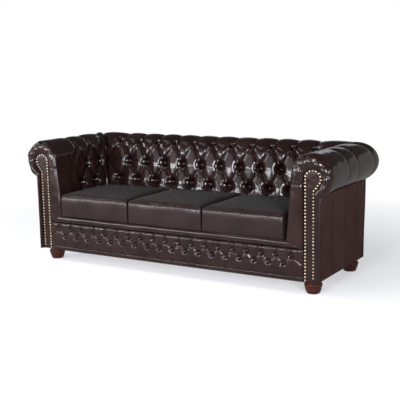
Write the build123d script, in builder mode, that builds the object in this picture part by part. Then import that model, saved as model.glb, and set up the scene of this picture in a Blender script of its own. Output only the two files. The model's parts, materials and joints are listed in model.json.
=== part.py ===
"""A three-seater rolled-arm sofa in deep-buttoned leather, piece by piece, in millimetres.

The sofa stands on the floor at z = 0, faces -Y and is as wide as the X axis runs. Left and right are
those of a person who stands before the sofa and looks at it, so right is +X.
"""

from build123d import *
from dataclasses import dataclass
from math import acos, asin, cos, degrees, radians, sin, sqrt, tan
import os

# Overall form
overall_width = 2000.0  # over the two arm rolls
overall_depth = 750.0  # cushion fronts to the rear of the back roll
overall_height = 740.0
panel_inset = 70.0  # of the outside panels inside the outer edges of the rolls
foot_height = 74.0
roll_radius = 112.0
arm_lean = 5.5  # degrees that the inside arms lean out
back_lean = 8.0  # degrees that the inside back leans back
rear_rake = 15.0  # how far the outside back runs in from its top edge to its foot
cushion_overhang = 25.0  # cushion fronts ahead of the nailed arm facings

# Layers of the upholstery, counted from the leather inwards
tufted_layer = 38.0
foam_layer = 20.0
former_thickness = 4.0
lining_thickness = 3.0
webbing_thickness = 2.0
panel_thickness = 4.7
leather_thickness = 2.0
soft_gap = 0.3  # between neighbouring soft faces
corner_gap = 1.5  # at the sewn mitres where the back meets the arms

# Deep buttoning of the back and the arms
tuft_pitch = 134.5
tuft_depth = 21.0
crease_depth = 11.0  # at the middle of a diagonal fold
corner_depth = 15.0
border_seam_depth = 1.0
roll_pleat_depth = 9.0
hem_pleat_depth = 4.0
button_seat = 24.0
button_diameter = 22.0
button_height = 8.0
button_sides = 6
button_taper = 30.0  # degrees
low_row_drop = 167.0  # of the lowest row below the axis of the rolls
middle_row_drop = 54.0
roll_row_angle = 47.0  # degrees up the front of the roll
roll_steps = 8
arm_tuft_start = 164.0  # from the arm border to the first column of buttons
tuft_fullness = 0.6  # how fast a fold swells with its width
fold_sharpness = 1.5  # how fast a diagonal fold runs shallow away from a button
seat_margin = 1.0
least_fold = 2.0  # width of the narrowest fold, at a corner
least_swell = 0.4
steepest_swell = 0.125  # swell of a narrow fold as a share of its width
hem_lift = 10.0  # of the buttoned covers' lower edges above the deck

# Buttoned front panel
front_pitch = 86.1
front_depth = 9.5
front_crease_depth = 6.0
front_crest = 18.0
front_seat = 18.0
front_button_diameter = 16.0
front_button_height = 5.0
front_row_drop = 40.0  # of the upper row below the lip
front_row_step = 44.0
front_hem_depth = 4.0

# Bands and front of the arm
band_top = 96.0
band_drop = 2.0
band_proud = 8.0
lip_height = 45.0
deck_pad_height = 20.0
lip_proud = 21.0
lip_round = 12.0
border_proud = 18.0
border_round = 10.0
border_steps = 2
border_pad = 22.0
border_depth = 58.0  # from the arm board's front face to the buttoned cover
facing_thickness = 6.0
facing_inset = 43.0  # of the facing's inner edge inside the axis of the roll
facing_width = 62.0
head_radius = 50.0
head_drop = 16.0  # of the facing's head below the axis of the roll
neck_drop = 62.0  # of the facing's neck below its head
head_swing = 35.0  # degrees that the facing's head runs round below its middle
nail_diameter = 11.0
nail_height = 3.5
nail_pitch = 17.5
nail_sides = 6
nail_inset = 8.0

# Timber frame
board_thickness = 22.0
board_ease = 3.5  # between the arm board's edge and the border's filling
rail_thickness = 30.0
rail_end_gap = 3.0  # between the front rail's ends and the arm boards
rail_ease = 2.0  # between a top rail's corners and its roll former
rail_top = 268.0
side_rail_height = 140.0
side_rail_thickness = 32.0
post_thickness = 25.0
post_ahead = 98.0  # of the posts' front faces ahead of the back roll's axis
post_behind = 18.0
upright_ahead = 57.0
upright_spacing = 500.0
top_rail_width = 32.0
top_rail_drop = 53.0  # of the top rails' undersides below the axis of the rolls
tacking_rail_height = 35.0
tacking_rail_drop = 113.0
webbing_rail_height = 40.0
stretcher_width = 40.0
stretcher_bottom = 200.0
block_leg = 120.0
block_height = 60.0

# Suspension
strap_width = 70.0
seat_straps = 9
seat_strap_pitch = 155.0
back_strap_width = 60.0
dust_cloth = 1.2
cloth_cut_sides = 8  # of the cut in the cloth round a foot

# Seat cushions
cushion_height = 128.0  # up to the upper seam
cushion_crown = 20.0
cushion_rim_crown = 0.2  # share of the crown that is left at the front and rear
cushion_gap = 1.2
cushion_draw = 3.0
cushion_boxing = 4.0  # swell of the side boxing past its seams
cushion_edge = 12.0
cushion_nose = 8.0
core_gap = 0.3

# Turned feet and their bolts
foot_side_inset = 57.0  # of a foot's middle inside the frame's side
foot_front_inset = 66.0  # behind the fronts of the arm boards
foot_rear_inset = 47.0  # ahead of the rear rail's rear face
foot_belly = 97.0
foot_collar = 92.0
foot_neck = 82.0
foot_base = 70.0
foot_ring = 6.0  # height of the turned groove
collar_height = 9.0
bolt_diameter = 8.0
bolt_sides = 12
bolt_head = 13.0
bolt_head_height = 6.0
bolt_reach = 44.0  # into the foot
bolt_clearance = 0.2

# Places that follow from these sizes
arm_axis = overall_width / 2 - roll_radius
back_axis = overall_depth / 2 - roll_radius
roll_height = overall_height - roll_radius
side_face = overall_width / 2 - panel_inset
outer_offset = side_face - arm_axis
roll_end = 180 + degrees(acos(outer_offset / roll_radius))
panel_top = roll_height + roll_radius * sin(radians(roll_end)) - soft_gap
deck_top = rail_top + webbing_thickness + deck_pad_height
hem_height = deck_top + hem_lift
lip_bottom = deck_top - lip_height
front_upper_row = lip_bottom - front_row_drop
front_lower_row = front_upper_row - front_row_step
cushion_seam = deck_top + cushion_height
low_row_height = roll_height - low_row_drop
middle_row_height = roll_height - middle_row_drop
facing_inner = arm_axis - facing_inset
facing_outer = facing_inner + facing_width
head_height = roll_height - head_drop
neck_height = head_height - neck_drop
facing_front = cushion_overhang - overall_depth / 2
board_front = facing_front + facing_thickness
board_back = board_front + board_thickness
cover_front = board_front + border_depth
foam_depth = tufted_layer + soft_gap
lining_depth = foam_depth + foam_layer + soft_gap
frame_side = side_face - panel_thickness - soft_gap
rear_top = back_axis + outer_offset
rear_foot = rear_top - rear_rake
rail_rear = rear_foot - panel_thickness - soft_gap
rail_reach = facing_inner - rail_end_gap
block_top = foot_height + block_height
cushion_bottom = deck_top + soft_gap
top_rail_bottom = roll_height - top_rail_drop
tacking_rail_top = roll_height - tacking_rail_drop
tacking_rail_bottom = tacking_rail_top - tacking_rail_height
post_front = back_axis - post_ahead
post_rear = back_axis + post_behind
upright_front = back_axis - upright_ahead
side_rail_inner = frame_side - side_rail_thickness
frame_front = board_front + rail_thickness
frame_rear = rail_rear - rail_thickness
foot_x = frame_side - foot_side_inset
foot_front_y = board_front + foot_front_inset
foot_rear_y = rail_rear - foot_rear_inset
foot_places = [(side * foot_x, y) for side in (-1, 1) for y in (foot_front_y, foot_rear_y)]


def rear_plane(height):
    """The y of the outside back at a height."""
    return rear_foot + rear_rake * (height - foot_height) / (panel_top - foot_height)


def face_offset(height, depth, lean):
    """How far a leaning face, at a depth below its leather, lies inside the axis of its roll."""
    radius = roll_radius - depth
    rise = height - roll_height
    if rise > radius * sin(radians(lean)):
        return sqrt(max(radius**2 - rise**2, 0.0))
    return radius / cos(radians(lean)) - rise * tan(radians(lean))


@dataclass
class Station:
    """One place on the way up a face and round its roll, seen in the profile of the arm or the back."""

    out: float  # outwards from the axis of the roll
    height: float
    angle: float  # degrees that the leather's normal is turned up from facing the sitter
    spread: float  # 0 on a row of buttons, 1 on the staggered row
    crease: float  # depth of the folds here
    corner: float = corner_depth  # depth of the seam where the back meets the arm
    seated: bool = False  # true beside a row of buttons, where its seats are flat

    def at_depth(self, depth):
        """The point below the leather, as outwards offset and height."""
        turn = radians(self.angle)
        return self.out + depth * cos(turn), self.height - depth * sin(turn)


def face_station(lean, height, spread, crease, **more):
    """A station on the leaning face."""
    return Station(-face_offset(height, 0, lean), height, lean, spread, crease, **more)


def roll_station(angle, spread, crease, **more):
    """A station on the roll."""
    turn = radians(angle)
    out = -roll_radius * cos(turn)
    return Station(out, roll_height + roll_radius * sin(turn), angle, spread, crease, **more)


def fold_depth(spread):
    """Depth of a diagonal fold between two rows of buttons."""
    return crease_depth + (tuft_depth - crease_depth) * abs(1 - 2 * spread) ** fold_sharpness


@dataclass
class Profile:
    """The way from the hem up a leaning face and round its roll."""

    face: list  # from the hem to below the roll
    roll: list  # from where the roll starts to its underside
    rows: list  # the pair of stations on either side of each row of buttons

    @property
    def stations(self):
        """All stations in order."""
        return self.face + self.roll


def buttoned_profile(lean):
    """The stations of a buttoned face and its roll."""
    half = button_seat / 2 + seat_margin
    turn = degrees(asin(half / (roll_radius - tuft_depth)))
    rise = half * cos(radians(lean))
    low, middle = low_row_height, middle_row_height
    face = [
        face_station(lean, hem_height, 0, roll_pleat_depth),
        face_station(lean, low - rise, 0, tuft_depth, seated=True),
        face_station(lean, low + rise, 0, tuft_depth, seated=True),
        face_station(lean, (low + middle) / 2, 1 / 2, fold_depth(1 / 2)),
        face_station(lean, middle - rise, 1, tuft_depth, seated=True),
        face_station(lean, middle + rise, 1, tuft_depth, seated=True),
    ]
    roll = [
        roll_station(lean, 2 / 3, fold_depth(2 / 3)),
        roll_station((lean + roll_row_angle - turn) / 2, 1 / 3, fold_depth(1 / 3)),
        roll_station(roll_row_angle - turn, 0, tuft_depth, seated=True),
        roll_station(roll_row_angle + turn, 0, tuft_depth, seated=True),
    ]
    first = roll_row_angle + turn
    for step in range(1, roll_steps + 1):
        share = step / roll_steps
        depth = roll_pleat_depth + (hem_pleat_depth - roll_pleat_depth) * share
        roll.append(roll_station(first + (roll_end - first) * share, 0, depth, corner=depth))
    return Profile(face, roll, [face[1:3], face[4:6], roll[2:4]])


def mitre(station, depth, other_lean):
    """How far past the other roll's axis the sewn mitre lies, at a depth below the leather."""
    out, height = station.at_depth(depth)
    if out < 0:
        return -face_offset(height, depth, other_lean) - corner_gap
    return out - corner_gap


def back_plane(station):
    """The plane of a section of the back: along X, with its y out of the leather."""
    turn = radians(station.angle)
    origin = (0, back_axis + station.out, station.height)
    return Plane(origin, x_dir=(1, 0, 0), z_dir=(0, -sin(turn), -cos(turn)))


def arm_plane(station):
    """The plane of a section of the right arm: along Y, with its y out of the leather."""
    turn = radians(station.angle)
    origin = (arm_axis + station.out, 0, station.height)
    return Plane(origin, x_dir=(0, 1, 0), z_dir=(sin(turn), 0, cos(turn)))


def back_reach(station, depth):
    """Where a section of the back ends, left and right."""
    end = arm_axis + mitre(station, depth, arm_lean)
    return -end, end


def arm_reach(front):
    """A function that says where a section of the right arm starts and ends."""
    return lambda station, depth: (front, back_axis + mitre(station, depth, back_lean))


def span_reach(low, high):
    """A function that says that every section runs between the same two ends."""
    return lambda station, depth: (low, high)


def plain_section(plane, station, reach, top, bottom):
    """A section of a plain layer between two depths."""
    low_top, high_top = reach(station, top)
    low_bottom, high_bottom = reach(station, bottom)
    with BuildSketch(plane(station)) as section:
        with BuildLine():
            upper = [(low_top, -top), (high_top, -top)]
            Polyline(*upper, (high_bottom, -bottom), (low_bottom, -bottom), close=True)
        make_face()
    return section.sketch.faces()[0]


@dataclass
class Buttoning:
    """The sizes of one field of buttons."""

    pitch: float
    seat: float

    def fold_width(self, spread):
        """Width of the folds that open above a row of buttons."""
        return self.seat + spread * (self.pitch - 2 * self.seat)

    def fullness(self, width):
        """0 on a button's seat, 1 on a whole tuft."""
        share = (width - self.seat) / (self.pitch - 2 * self.seat)
        return min(max(share, 0.0), 1.0) ** tuft_fullness


def tufted_edge(field, columns, ends, spread, crease, seated):
    """Draws the leather's edge of one section: a swollen arc for each tuft, a line for each seat."""
    (low, low_depth), (high, high_depth) = ends
    half = field.fold_width(spread) / 2
    cuts = [column + side * half for column in columns for side in (-1, 1)]
    last = len(cuts)
    cuts = [min(cut, high - least_fold * (last - place)) for place, cut in enumerate(cuts)]
    points = [(low, -low_depth), *[(cut, -crease) for cut in cuts], (high, -high_depth)]
    for place, (start, end) in enumerate(zip(points, points[1:])):
        width = end[0] - start[0]
        on_seat = 0 < place < last and seated and width < field.seat + seat_margin
        if on_seat or width < 2 * least_fold:
            Line(start, end)
            continue
        chord = (start[1] + end[1]) / 2
        rise = max(-chord * field.fullness(width), min(least_swell, width * steepest_swell))
        ThreePointArc(start, ((start[0] + end[0]) / 2, chord + rise), end)
    return points


def tufted_section(plane, station, reach, columns, low_depth, high_depth):
    """A section of a buttoned cover, from its leather to the flat back of its filling."""
    low = reach(station, low_depth)[0]
    high = reach(station, high_depth)[1]
    low_back, high_back = reach(station, tufted_layer)
    field = Buttoning(tuft_pitch, button_seat)
    with BuildSketch(plane(station)) as section:
        with BuildLine():
            ends = ((low, low_depth), (high, high_depth))
            points = tufted_edge(field, columns, ends, station.spread, station.crease, station.seated)
            Polyline(points[-1], (high_back, -tufted_layer), (low_back, -tufted_layer), points[0])
        make_face()
    return section.sketch.faces()[0]


def write(piece, name):
    """Labels a finished piece and writes it."""
    piece.part.label = name
    export_step(piece.part, f"parts/{name}.step")


def write_pair(piece, name):
    """Writes a piece of the right side and its mirror image on the left."""
    with BuildPart() as twin:
        mirror(piece.part, about=Plane.YZ)
    write(twin, f"{name}_left")
    write(piece, f"{name}_right")


def bar(x_span, y_span, z_span):
    """A squared timber or cloth between two corners, added to the part being built."""
    size = [high - low for low, high in (x_span, y_span, z_span)]
    middle = [(low + high) / 2 for low, high in (x_span, y_span, z_span)]
    with Locations(tuple(middle)):
        Box(*size)


def layer(stations, plane, reach, top, bottom):
    """The sections of a plain layer that follows a face and its roll."""
    return [plain_section(plane, station, reach, top, bottom) for station in stations]


os.makedirs("parts", exist_ok=True)
back_profile = buttoned_profile(back_lean)
arm_profile = buttoned_profile(arm_lean)
back_face = [back_profile.face[0], back_profile.roll[0]]
arm_face = [arm_profile.face[0], arm_profile.roll[0]]

# Seat frame
with BuildPart() as front_rail:
    bar((-rail_reach, rail_reach), (board_front, frame_front), (foot_height, rail_top))
write(front_rail, "front_seat_rail")

with BuildPart() as rear_rail:
    bar((-side_rail_inner, side_rail_inner), (frame_rear, rail_rear), (foot_height, rail_top))
write(rear_rail, "rear_seat_rail")

with BuildPart() as side_rail:
    side_rail_top = foot_height + side_rail_height
    bar((side_rail_inner, frame_side), (board_back, rail_rear), (foot_height, side_rail_top))
write_pair(side_rail, "side_seat_rail")

with BuildPart() as stretchers:
    for side in (-1, 1):
        middle = side * upright_spacing / 2
        bar(
            (middle - stretcher_width / 2, middle + stretcher_width / 2),
            (frame_front, frame_rear),
            (stretcher_bottom, stretcher_bottom + stretcher_width),
        )
write(stretchers, "seat_stretchers")

with BuildPart() as corner_blocks:
    with BuildSketch(Plane.XY.offset(foot_height)):
        for corner_y, inward in ((frame_front, 1), (frame_rear, -1)):
            for side in (-1, 1):
                corner_x = side * side_rail_inner
                with BuildLine():
                    Polyline(
                        (corner_x, corner_y),
                        (corner_x - side * block_leg, corner_y),
                        (corner_x, corner_y + inward * block_leg),
                        close=True,
                    )
                make_face()
    extrude(amount=block_height)
    with BuildSketch(Plane.XY.offset(foot_height)):
        with Locations(*foot_places):
            RegularPolygon(radius=bolt_diameter / 2 + bolt_clearance, side_count=bolt_sides)
    extrude(amount=block_height, mode=Mode.SUBTRACT)
write(corner_blocks, "corner_blocks")


def scroll_outline(inset, outer, foot):
    """Draws the outline of the arm's front, an inset inside the leather, down to a foot."""
    radius = roll_radius - inset
    start = radians(arm_lean)
    end = radians(180 + degrees(acos((outer - arm_axis) / radius)))
    crown = (start + end) / 2

    def on_roll(turn):
        return arm_axis - radius * cos(turn), roll_height + radius * sin(turn)

    inner_foot = (arm_axis - face_offset(foot, inset, arm_lean), foot)
    Line(inner_foot, on_roll(start))
    ThreePointArc(on_roll(start), on_roll((start + crown) / 2), on_roll(crown))
    ThreePointArc(on_roll(crown), on_roll((crown + end) / 2), on_roll(end))
    Line(on_roll(end), (outer, foot))
    Line((outer, foot), inner_foot)


def border_section(step):
    """A section of the arm's padded border, a step of the way round its front edge."""
    turn = radians(90 * step / border_steps)
    inset = border_round * (1 - cos(turn))
    plane = front_plane(pad_back - border_proud + border_round * (1 - sin(turn)))
    points = [station.at_depth(inset) for station in arm_profile.roll]
    inner_foot = -face_offset(foot_height, inset, arm_lean)
    points = [(inner_foot, foot_height), *points, (points[-1][0], foot_height)]
    with BuildSketch(plane) as section:
        with BuildLine():
            Polyline(*[(arm_axis + out, height) for out, height in points], close=True)
        make_face()
    return section.sketch.faces()[0]


def front_plane(y):
    """A plane that faces the front, with its x along +X and its y up."""
    return Plane((0, y, 0), x_dir=(1, 0, 0), z_dir=(0, -1, 0))


def polygon_face(plane, radius, sides):
    """A regular polygon as a face."""
    with BuildSketch(plane) as section:
        RegularPolygon(radius=radius, side_count=sides)
    return section.sketch.faces()[0]


def facing_outline(margin):
    """Draws the cane-shaped outline of the nailed facing, grown by a margin."""
    inner, outer, radius = facing_inner - margin, facing_outer + margin, head_radius + margin
    head_x = facing_inner + head_radius
    swing = radians(-head_swing)
    shoulder = (head_x + radius * cos(swing), head_height + radius * sin(swing))
    Line((inner, foot_height - margin), (inner, head_height))
    ThreePointArc((inner, head_height), (head_x, head_height + radius), (head_x + radius, head_height))
    tip = (head_x + radius * cos(swing / 2), head_height + radius * sin(swing / 2))
    ThreePointArc((head_x + radius, head_height), tip, shoulder)
    Line(shoulder, (outer, neck_height))
    Line((outer, neck_height), (outer, foot_height - margin))
    Line((outer, foot_height - margin), (inner, foot_height - margin))


# Arm frames
board_inset = border_pad + board_ease
with BuildPart() as arm_board:
    with BuildSketch(front_plane(board_front)):
        with BuildLine():
            scroll_outline(board_inset, arm_axis + outer_offset * (1 - board_inset / roll_radius), rail_top)
        make_face()
        leg_width = frame_side - facing_inner
        with Locations((facing_inner + leg_width / 2, (foot_height + rail_top) / 2)):
            Rectangle(leg_width, rail_top - foot_height)
    extrude(amount=-board_thickness)
write_pair(arm_board, "arm_front_board")

former_depth = lining_depth + former_thickness
rail_top_radius = roll_radius - former_depth - rail_ease
top_rail_crown = roll_height + sqrt(rail_top_radius**2 - (top_rail_width / 2) ** 2)
with BuildPart() as arm_top_rail:
    bar(
        (arm_axis - top_rail_width / 2, arm_axis + top_rail_width / 2),
        (board_back, post_rear),
        (top_rail_bottom, top_rail_crown),
    )
write_pair(arm_top_rail, "arm_top_rail")

with BuildPart() as arm_tacking_rail:
    bar((side_rail_inner, frame_side), (board_back, post_rear), (tacking_rail_bottom, tacking_rail_top))
write_pair(arm_tacking_rail, "arm_tacking_rail")

with BuildPart() as arm_former:
    reach = arm_reach(board_back)
    loft(sections=layer(arm_profile.roll, arm_plane, reach, lining_depth, former_depth), ruled=True)
write_pair(arm_former, "arm_roll_former")

with BuildPart() as arm_lining:
    bottom_depth = lining_depth + lining_thickness
    loft(sections=layer(arm_face, arm_plane, arm_reach(board_back), lining_depth, bottom_depth), ruled=True)
write_pair(arm_lining, "inside_arm_board")

# Back frame
post_outer = side_rail_inner
post_step = foot_rear_y - bolt_head
with BuildPart() as back_post:
    with BuildSketch(Plane.YZ.offset(post_outer)):
        with BuildLine():
            Polyline(
                (post_front, block_top),
                (post_step, block_top),
                (post_step, rail_top),
                (post_rear, rail_top),
                (post_rear, top_rail_bottom),
                (upright_front, top_rail_bottom),
                (post_front, hem_height),
                close=True,
            )
        make_face()
    extrude(amount=-post_thickness)
write_pair(back_post, "back_post")

with BuildPart() as uprights:
    for side in (-1, 1):
        middle = side * upright_spacing / 2
        bar(
            (middle - rail_thickness / 2, middle + rail_thickness / 2),
            (upright_front, post_rear),
            (rail_top, top_rail_bottom),
        )
write(uprights, "back_uprights")

with BuildPart() as back_top_rail:
    end = arm_axis - top_rail_width / 2
    half = top_rail_width / 2
    bar((-end, end), (back_axis - half, back_axis + half), (top_rail_bottom, top_rail_crown))
write(back_top_rail, "back_top_rail")

tacking_rear = rear_plane(tacking_rail_bottom) - panel_thickness - soft_gap
with BuildPart() as back_tacking_rail:
    bar((-frame_side, frame_side), (post_rear, tacking_rear), (tacking_rail_bottom, tacking_rail_top))
write(back_tacking_rail, "back_tacking_rail")

strap_depth = lining_depth + webbing_thickness
with BuildPart() as webbing_rail:
    with BuildSketch(Plane.YZ.offset(-(post_outer - post_thickness))):
        with BuildLine():
            low, high = hem_height, hem_height + webbing_rail_height
            Polyline(
                (back_axis - face_offset(low, strap_depth, back_lean), low),
                (upright_front, low),
                (upright_front, high),
                (back_axis - face_offset(high, strap_depth, back_lean), high),
                close=True,
            )
        make_face()
    extrude(amount=2 * (post_outer - post_thickness))
write(webbing_rail, "back_webbing_rail")

with BuildPart() as back_former:
    loft(sections=layer(back_profile.roll, back_plane, back_reach, lining_depth, former_depth), ruled=True)
write(back_former, "back_roll_former")

# Suspension
with BuildPart() as seat_webbing:
    first_strap = -(seat_straps - 1) / 2 * seat_strap_pitch
    for strap in range(seat_straps):
        middle = first_strap + strap * seat_strap_pitch
        bar(
            (middle - strap_width / 2, middle + strap_width / 2),
            (board_front, rail_rear),
            (rail_top, rail_top + webbing_thickness),
        )
write(seat_webbing, "seat_webbing")

back_columns = int((arm_axis - face_offset(low_row_height, 0, arm_lean) - tuft_pitch / 2) / tuft_pitch)
with BuildPart() as back_webbing:
    for column in range(-back_columns, back_columns + 1):
        middle = column * tuft_pitch
        reach = span_reach(middle - back_strap_width / 2, middle + back_strap_width / 2)
        loft(sections=layer(back_face, back_plane, reach, lining_depth, strap_depth), ruled=True)
write(back_webbing, "back_webbing")

deck_side = arm_axis - face_offset(deck_top, lining_depth, arm_lean)
with BuildPart() as deck_pad:
    bar((-deck_side, deck_side), (cover_front, upright_front), (rail_top + webbing_thickness, deck_top))
write(deck_pad, "seat_deck_pad")

# Foam and buttoned covers
foam_back = foam_depth + foam_layer
with BuildPart() as back_foam:
    loft(sections=layer(back_profile.stations, back_plane, back_reach, foam_depth, foam_back), ruled=True)
write(back_foam, "back_foam")

with BuildPart() as arm_foam:
    reach = arm_reach(board_back)
    loft(sections=layer(arm_profile.stations, arm_plane, reach, foam_depth, foam_back), ruled=True)
write_pair(arm_foam, "arm_foam")

back_buttons_at = [column * tuft_pitch for column in range(-back_columns, back_columns + 1)]
with BuildPart() as back_cover:
    sections = [
        tufted_section(back_plane, station, back_reach, back_buttons_at, station.corner, station.corner)
        for station in back_profile.stations
    ]
    loft(sections=sections, ruled=True)
write(back_cover, "inside_back_cover")

arm_first = cover_front + arm_tuft_start
roll_row_out = (roll_radius - tuft_depth) * cos(radians(roll_row_angle))
arm_tuft_run = back_axis - roll_row_out - button_seat / 2 - arm_first
arm_columns = [arm_first + column * tuft_pitch for column in range(int(arm_tuft_run / tuft_pitch) + 1)]
with BuildPart() as arm_cover:
    reach = arm_reach(cover_front)
    sections = [
        tufted_section(arm_plane, station, reach, arm_columns, border_seam_depth, station.corner)
        for station in arm_profile.stations
    ]
    loft(sections=sections, ruled=True)
write_pair(arm_cover, "inside_arm_cover")


# Buttons
def button_seat_middle(row):
    """The middle of a row's seats, as outwards offset, height and turn."""
    points = [station.at_depth(tuft_depth - soft_gap / 2) for station in row]
    out, height = [sum(values) / 2 for values in zip(*points)]
    return out, height, radians(sum(station.angle for station in row) / 2)


def row_columns(row, columns, limit):
    """The places of the buttons on a row, between the columns where the row is staggered."""
    shift = row[0].spread * tuft_pitch / 2
    places = [column + shift for column in (columns[:-1] if shift else columns)]
    return [place for place in places if place + button_seat / 2 < limit]


def back_seats(row):
    """The planes of a row's button seats on the back."""
    out, height, turn = button_seat_middle(row)
    limit = back_reach(row[0], tuft_depth)[1]
    for x in row_columns(row, back_buttons_at, limit):
        origin = (x, back_axis + out, height)
        yield Plane(origin, x_dir=(1, 0, 0), z_dir=(0, -cos(turn), sin(turn)))


def arm_seats(row):
    """The planes of a row's button seats on the right arm."""
    out, height, turn = button_seat_middle(row)
    limit = arm_reach(cover_front)(row[0], tuft_depth)[1]
    for y in row_columns(row, arm_columns, limit):
        origin = (arm_axis + out, y, height)
        yield Plane(origin, x_dir=(0, 1, 0), z_dir=(-cos(turn), 0, sin(turn)))


with BuildPart() as back_buttons:
    with BuildSketch(*[seat for row in back_profile.rows for seat in back_seats(row)]):
        RegularPolygon(radius=button_diameter / 2, side_count=button_sides)
    extrude(amount=button_height, taper=button_taper)
write(back_buttons, "back_buttons")

with BuildPart() as arm_buttons:
    with BuildSketch(*[seat for row in arm_profile.rows for seat in arm_seats(row)]):
        RegularPolygon(radius=button_diameter / 2, side_count=button_sides)
    extrude(amount=button_height, taper=button_taper)
write_pair(arm_buttons, "arm_buttons")

# Buttoned front panel with the bands above and below it
pad_back = board_front - soft_gap
front_columns = int((rail_reach - front_pitch / 4) / front_pitch)
front_buttons_at = [column * front_pitch for column in range(-front_columns, front_columns + 1)]
front_half_seat = front_seat / 2 + seat_margin
front_field = Buttoning(front_pitch, front_seat)


def front_section(height, spread, crease, seated):
    """A level section of the buttoned front panel."""
    plane = Plane((0, pad_back - front_crest, height), x_dir=(1, 0, 0), z_dir=(0, 0, -1))
    with BuildSketch(plane) as section:
        with BuildLine():
            ends = ((-rail_reach, front_hem_depth), (rail_reach, front_hem_depth))
            points = tufted_edge(front_field, front_buttons_at, ends, spread, crease, seated)
            Polyline(points[-1], (rail_reach, -front_crest), (-rail_reach, -front_crest), points[0])
        make_face()
    return section.sketch.faces()[0]


with BuildPart() as front_panel:
    loft(
        sections=[
            front_section(band_top + soft_gap, 1, front_hem_depth, False),
            front_section(front_lower_row - front_half_seat, 1, front_depth, True),
            front_section(front_lower_row + front_half_seat, 1, front_depth, True),
            front_section((front_lower_row + front_upper_row) / 2, 0.5, front_crease_depth, False),
            front_section(front_upper_row - front_half_seat, 0, front_depth, True),
            front_section(front_upper_row + front_half_seat, 0, front_depth, True),
            front_section(lip_bottom - soft_gap, 0, front_hem_depth, False),
        ],
        ruled=True,
    )
write(front_panel, "front_panel_cover")

with BuildPart() as front_buttons:
    upper_seats = [(x, front_upper_row) for x in front_buttons_at]
    lower_seats = [(x + front_pitch / 2, front_lower_row) for x in front_buttons_at[:-1]]
    with BuildSketch(front_plane(pad_back - front_crest + front_depth - soft_gap / 2)):
        with Locations(*upper_seats, *lower_seats):
            RegularPolygon(radius=front_button_diameter / 2, side_count=button_sides)
    extrude(amount=front_button_height, taper=button_taper)
write(front_buttons, "front_buttons")

inside_half = arm_axis - face_offset(deck_top, 0, arm_lean)
with BuildPart() as lip:
    with BuildSketch(front_plane(pad_back)):
        with BuildLine():
            top_half = inside_half - soft_gap
            upper = [(-top_half, deck_top), (top_half, deck_top)]
            Polyline(*upper, (rail_reach, lip_bottom), (-rail_reach, lip_bottom), close=True)
        make_face()
    extrude(amount=lip_proud)
    fillet(lip.faces().sort_by(Axis.Y)[0].edges().filter_by(Axis.X), radius=lip_round)
    bar((-top_half, top_half), (pad_back, cover_front), (rail_top + webbing_thickness, deck_top))
write(lip, "front_lip_roll")

with BuildPart() as band:
    bar((-rail_reach, rail_reach), (pad_back - band_proud, pad_back), (foot_height - band_drop, band_top))
    fillet(band.faces().sort_by(Axis.Y)[0].edges().filter_by(Axis.X), radius=band_proud / 2)
write(band, "front_bottom_band")

# Padded border, nailed facing and nails of the arm's front
with BuildPart() as arm_border:
    extrude(border_section(0), amount=border_round - border_proud)
    loft(sections=[border_section(step) for step in range(border_steps + 1)], ruled=True)
    with BuildSketch(front_plane(pad_back)):
        with BuildLine():
            Polyline(
                (inside_half, deck_top + soft_gap),
                (facing_inner, lip_bottom + soft_gap),
                (facing_inner, 0),
                (0, 0),
                (0, deck_top + soft_gap),
                close=True,
            )
        make_face()
        with BuildLine():
            facing_outline(soft_gap)
        make_face()
    extrude(amount=border_proud, mode=Mode.SUBTRACT)
    reach = span_reach(pad_back, cover_front - soft_gap)
    loft(sections=layer(arm_profile.stations, arm_plane, reach, 0, border_pad), ruled=True)
write_pair(arm_border, "arm_border")

with BuildPart() as arm_facing:
    with BuildSketch(front_plane(board_front)):
        with BuildLine():
            facing_outline(0)
        make_face()
    extrude(amount=facing_thickness)
write_pair(arm_facing, "arm_facing")

with BuildPart() as nail:
    nail_foot = polygon_face(front_plane(facing_front), nail_diameter / 2, nail_sides)
    loft(sections=[nail_foot, Vertex(0, facing_front - nail_height, 0)], ruled=True)

with BuildPart() as facing_nails:
    with BuildLine(front_plane(facing_front)) as nail_line:
        facing_outline(-nail_inset)
    nail_run = Wire(nail_line.edges()[:-1])
    count = int(nail_run.length / nail_pitch)
    steps = [place * nail_pitch for place in range(count + 1)]
    spots = [nail_run.position_at(step, PositionMode.LENGTH) for step in steps]
    with Locations(*[(spot.X, 0, spot.Z) for spot in spots]):
        add(nail.part)
write_pair(facing_nails, "facing_nails")

# Outside panels and the cloth underneath
with BuildPart() as outside_arm:
    with BuildSketch(Plane.YZ.offset(side_face - panel_thickness)):
        with BuildLine():
            rear_gap = panel_thickness + soft_gap
            lower = [(board_front, foot_height), (rear_plane(foot_height) - rear_gap, foot_height)]
            upper = [(rear_plane(panel_top) - rear_gap, panel_top), (board_front, panel_top)]
            Polyline(*lower, *upper, close=True)
        make_face()
    extrude(amount=panel_thickness)
write_pair(outside_arm, "outside_arm_panel")

with BuildPart() as outside_back:
    with BuildSketch(Plane.YZ.offset(-side_face)):
        with BuildLine():
            low, high = rear_plane(foot_height), rear_plane(panel_top)
            lower = [(low - panel_thickness, foot_height), (low, foot_height)]
            Polyline(*lower, (high, panel_top), (high - panel_thickness, panel_top), close=True)
        make_face()
    extrude(amount=2 * side_face)
write(outside_back, "outside_back_panel")

with BuildPart() as dust_cover:
    bar((-frame_side, frame_side), (board_back, rail_rear), (foot_height - dust_cloth, foot_height))
    with BuildSketch(Plane.XY.offset(foot_height)):
        with Locations(*foot_places):
            RegularPolygon(radius=foot_collar / 2 + soft_gap, side_count=cloth_cut_sides, major_radius=False)
    extrude(amount=-dust_cloth, mode=Mode.SUBTRACT)
write(dust_cover, "dust_cover")

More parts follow.
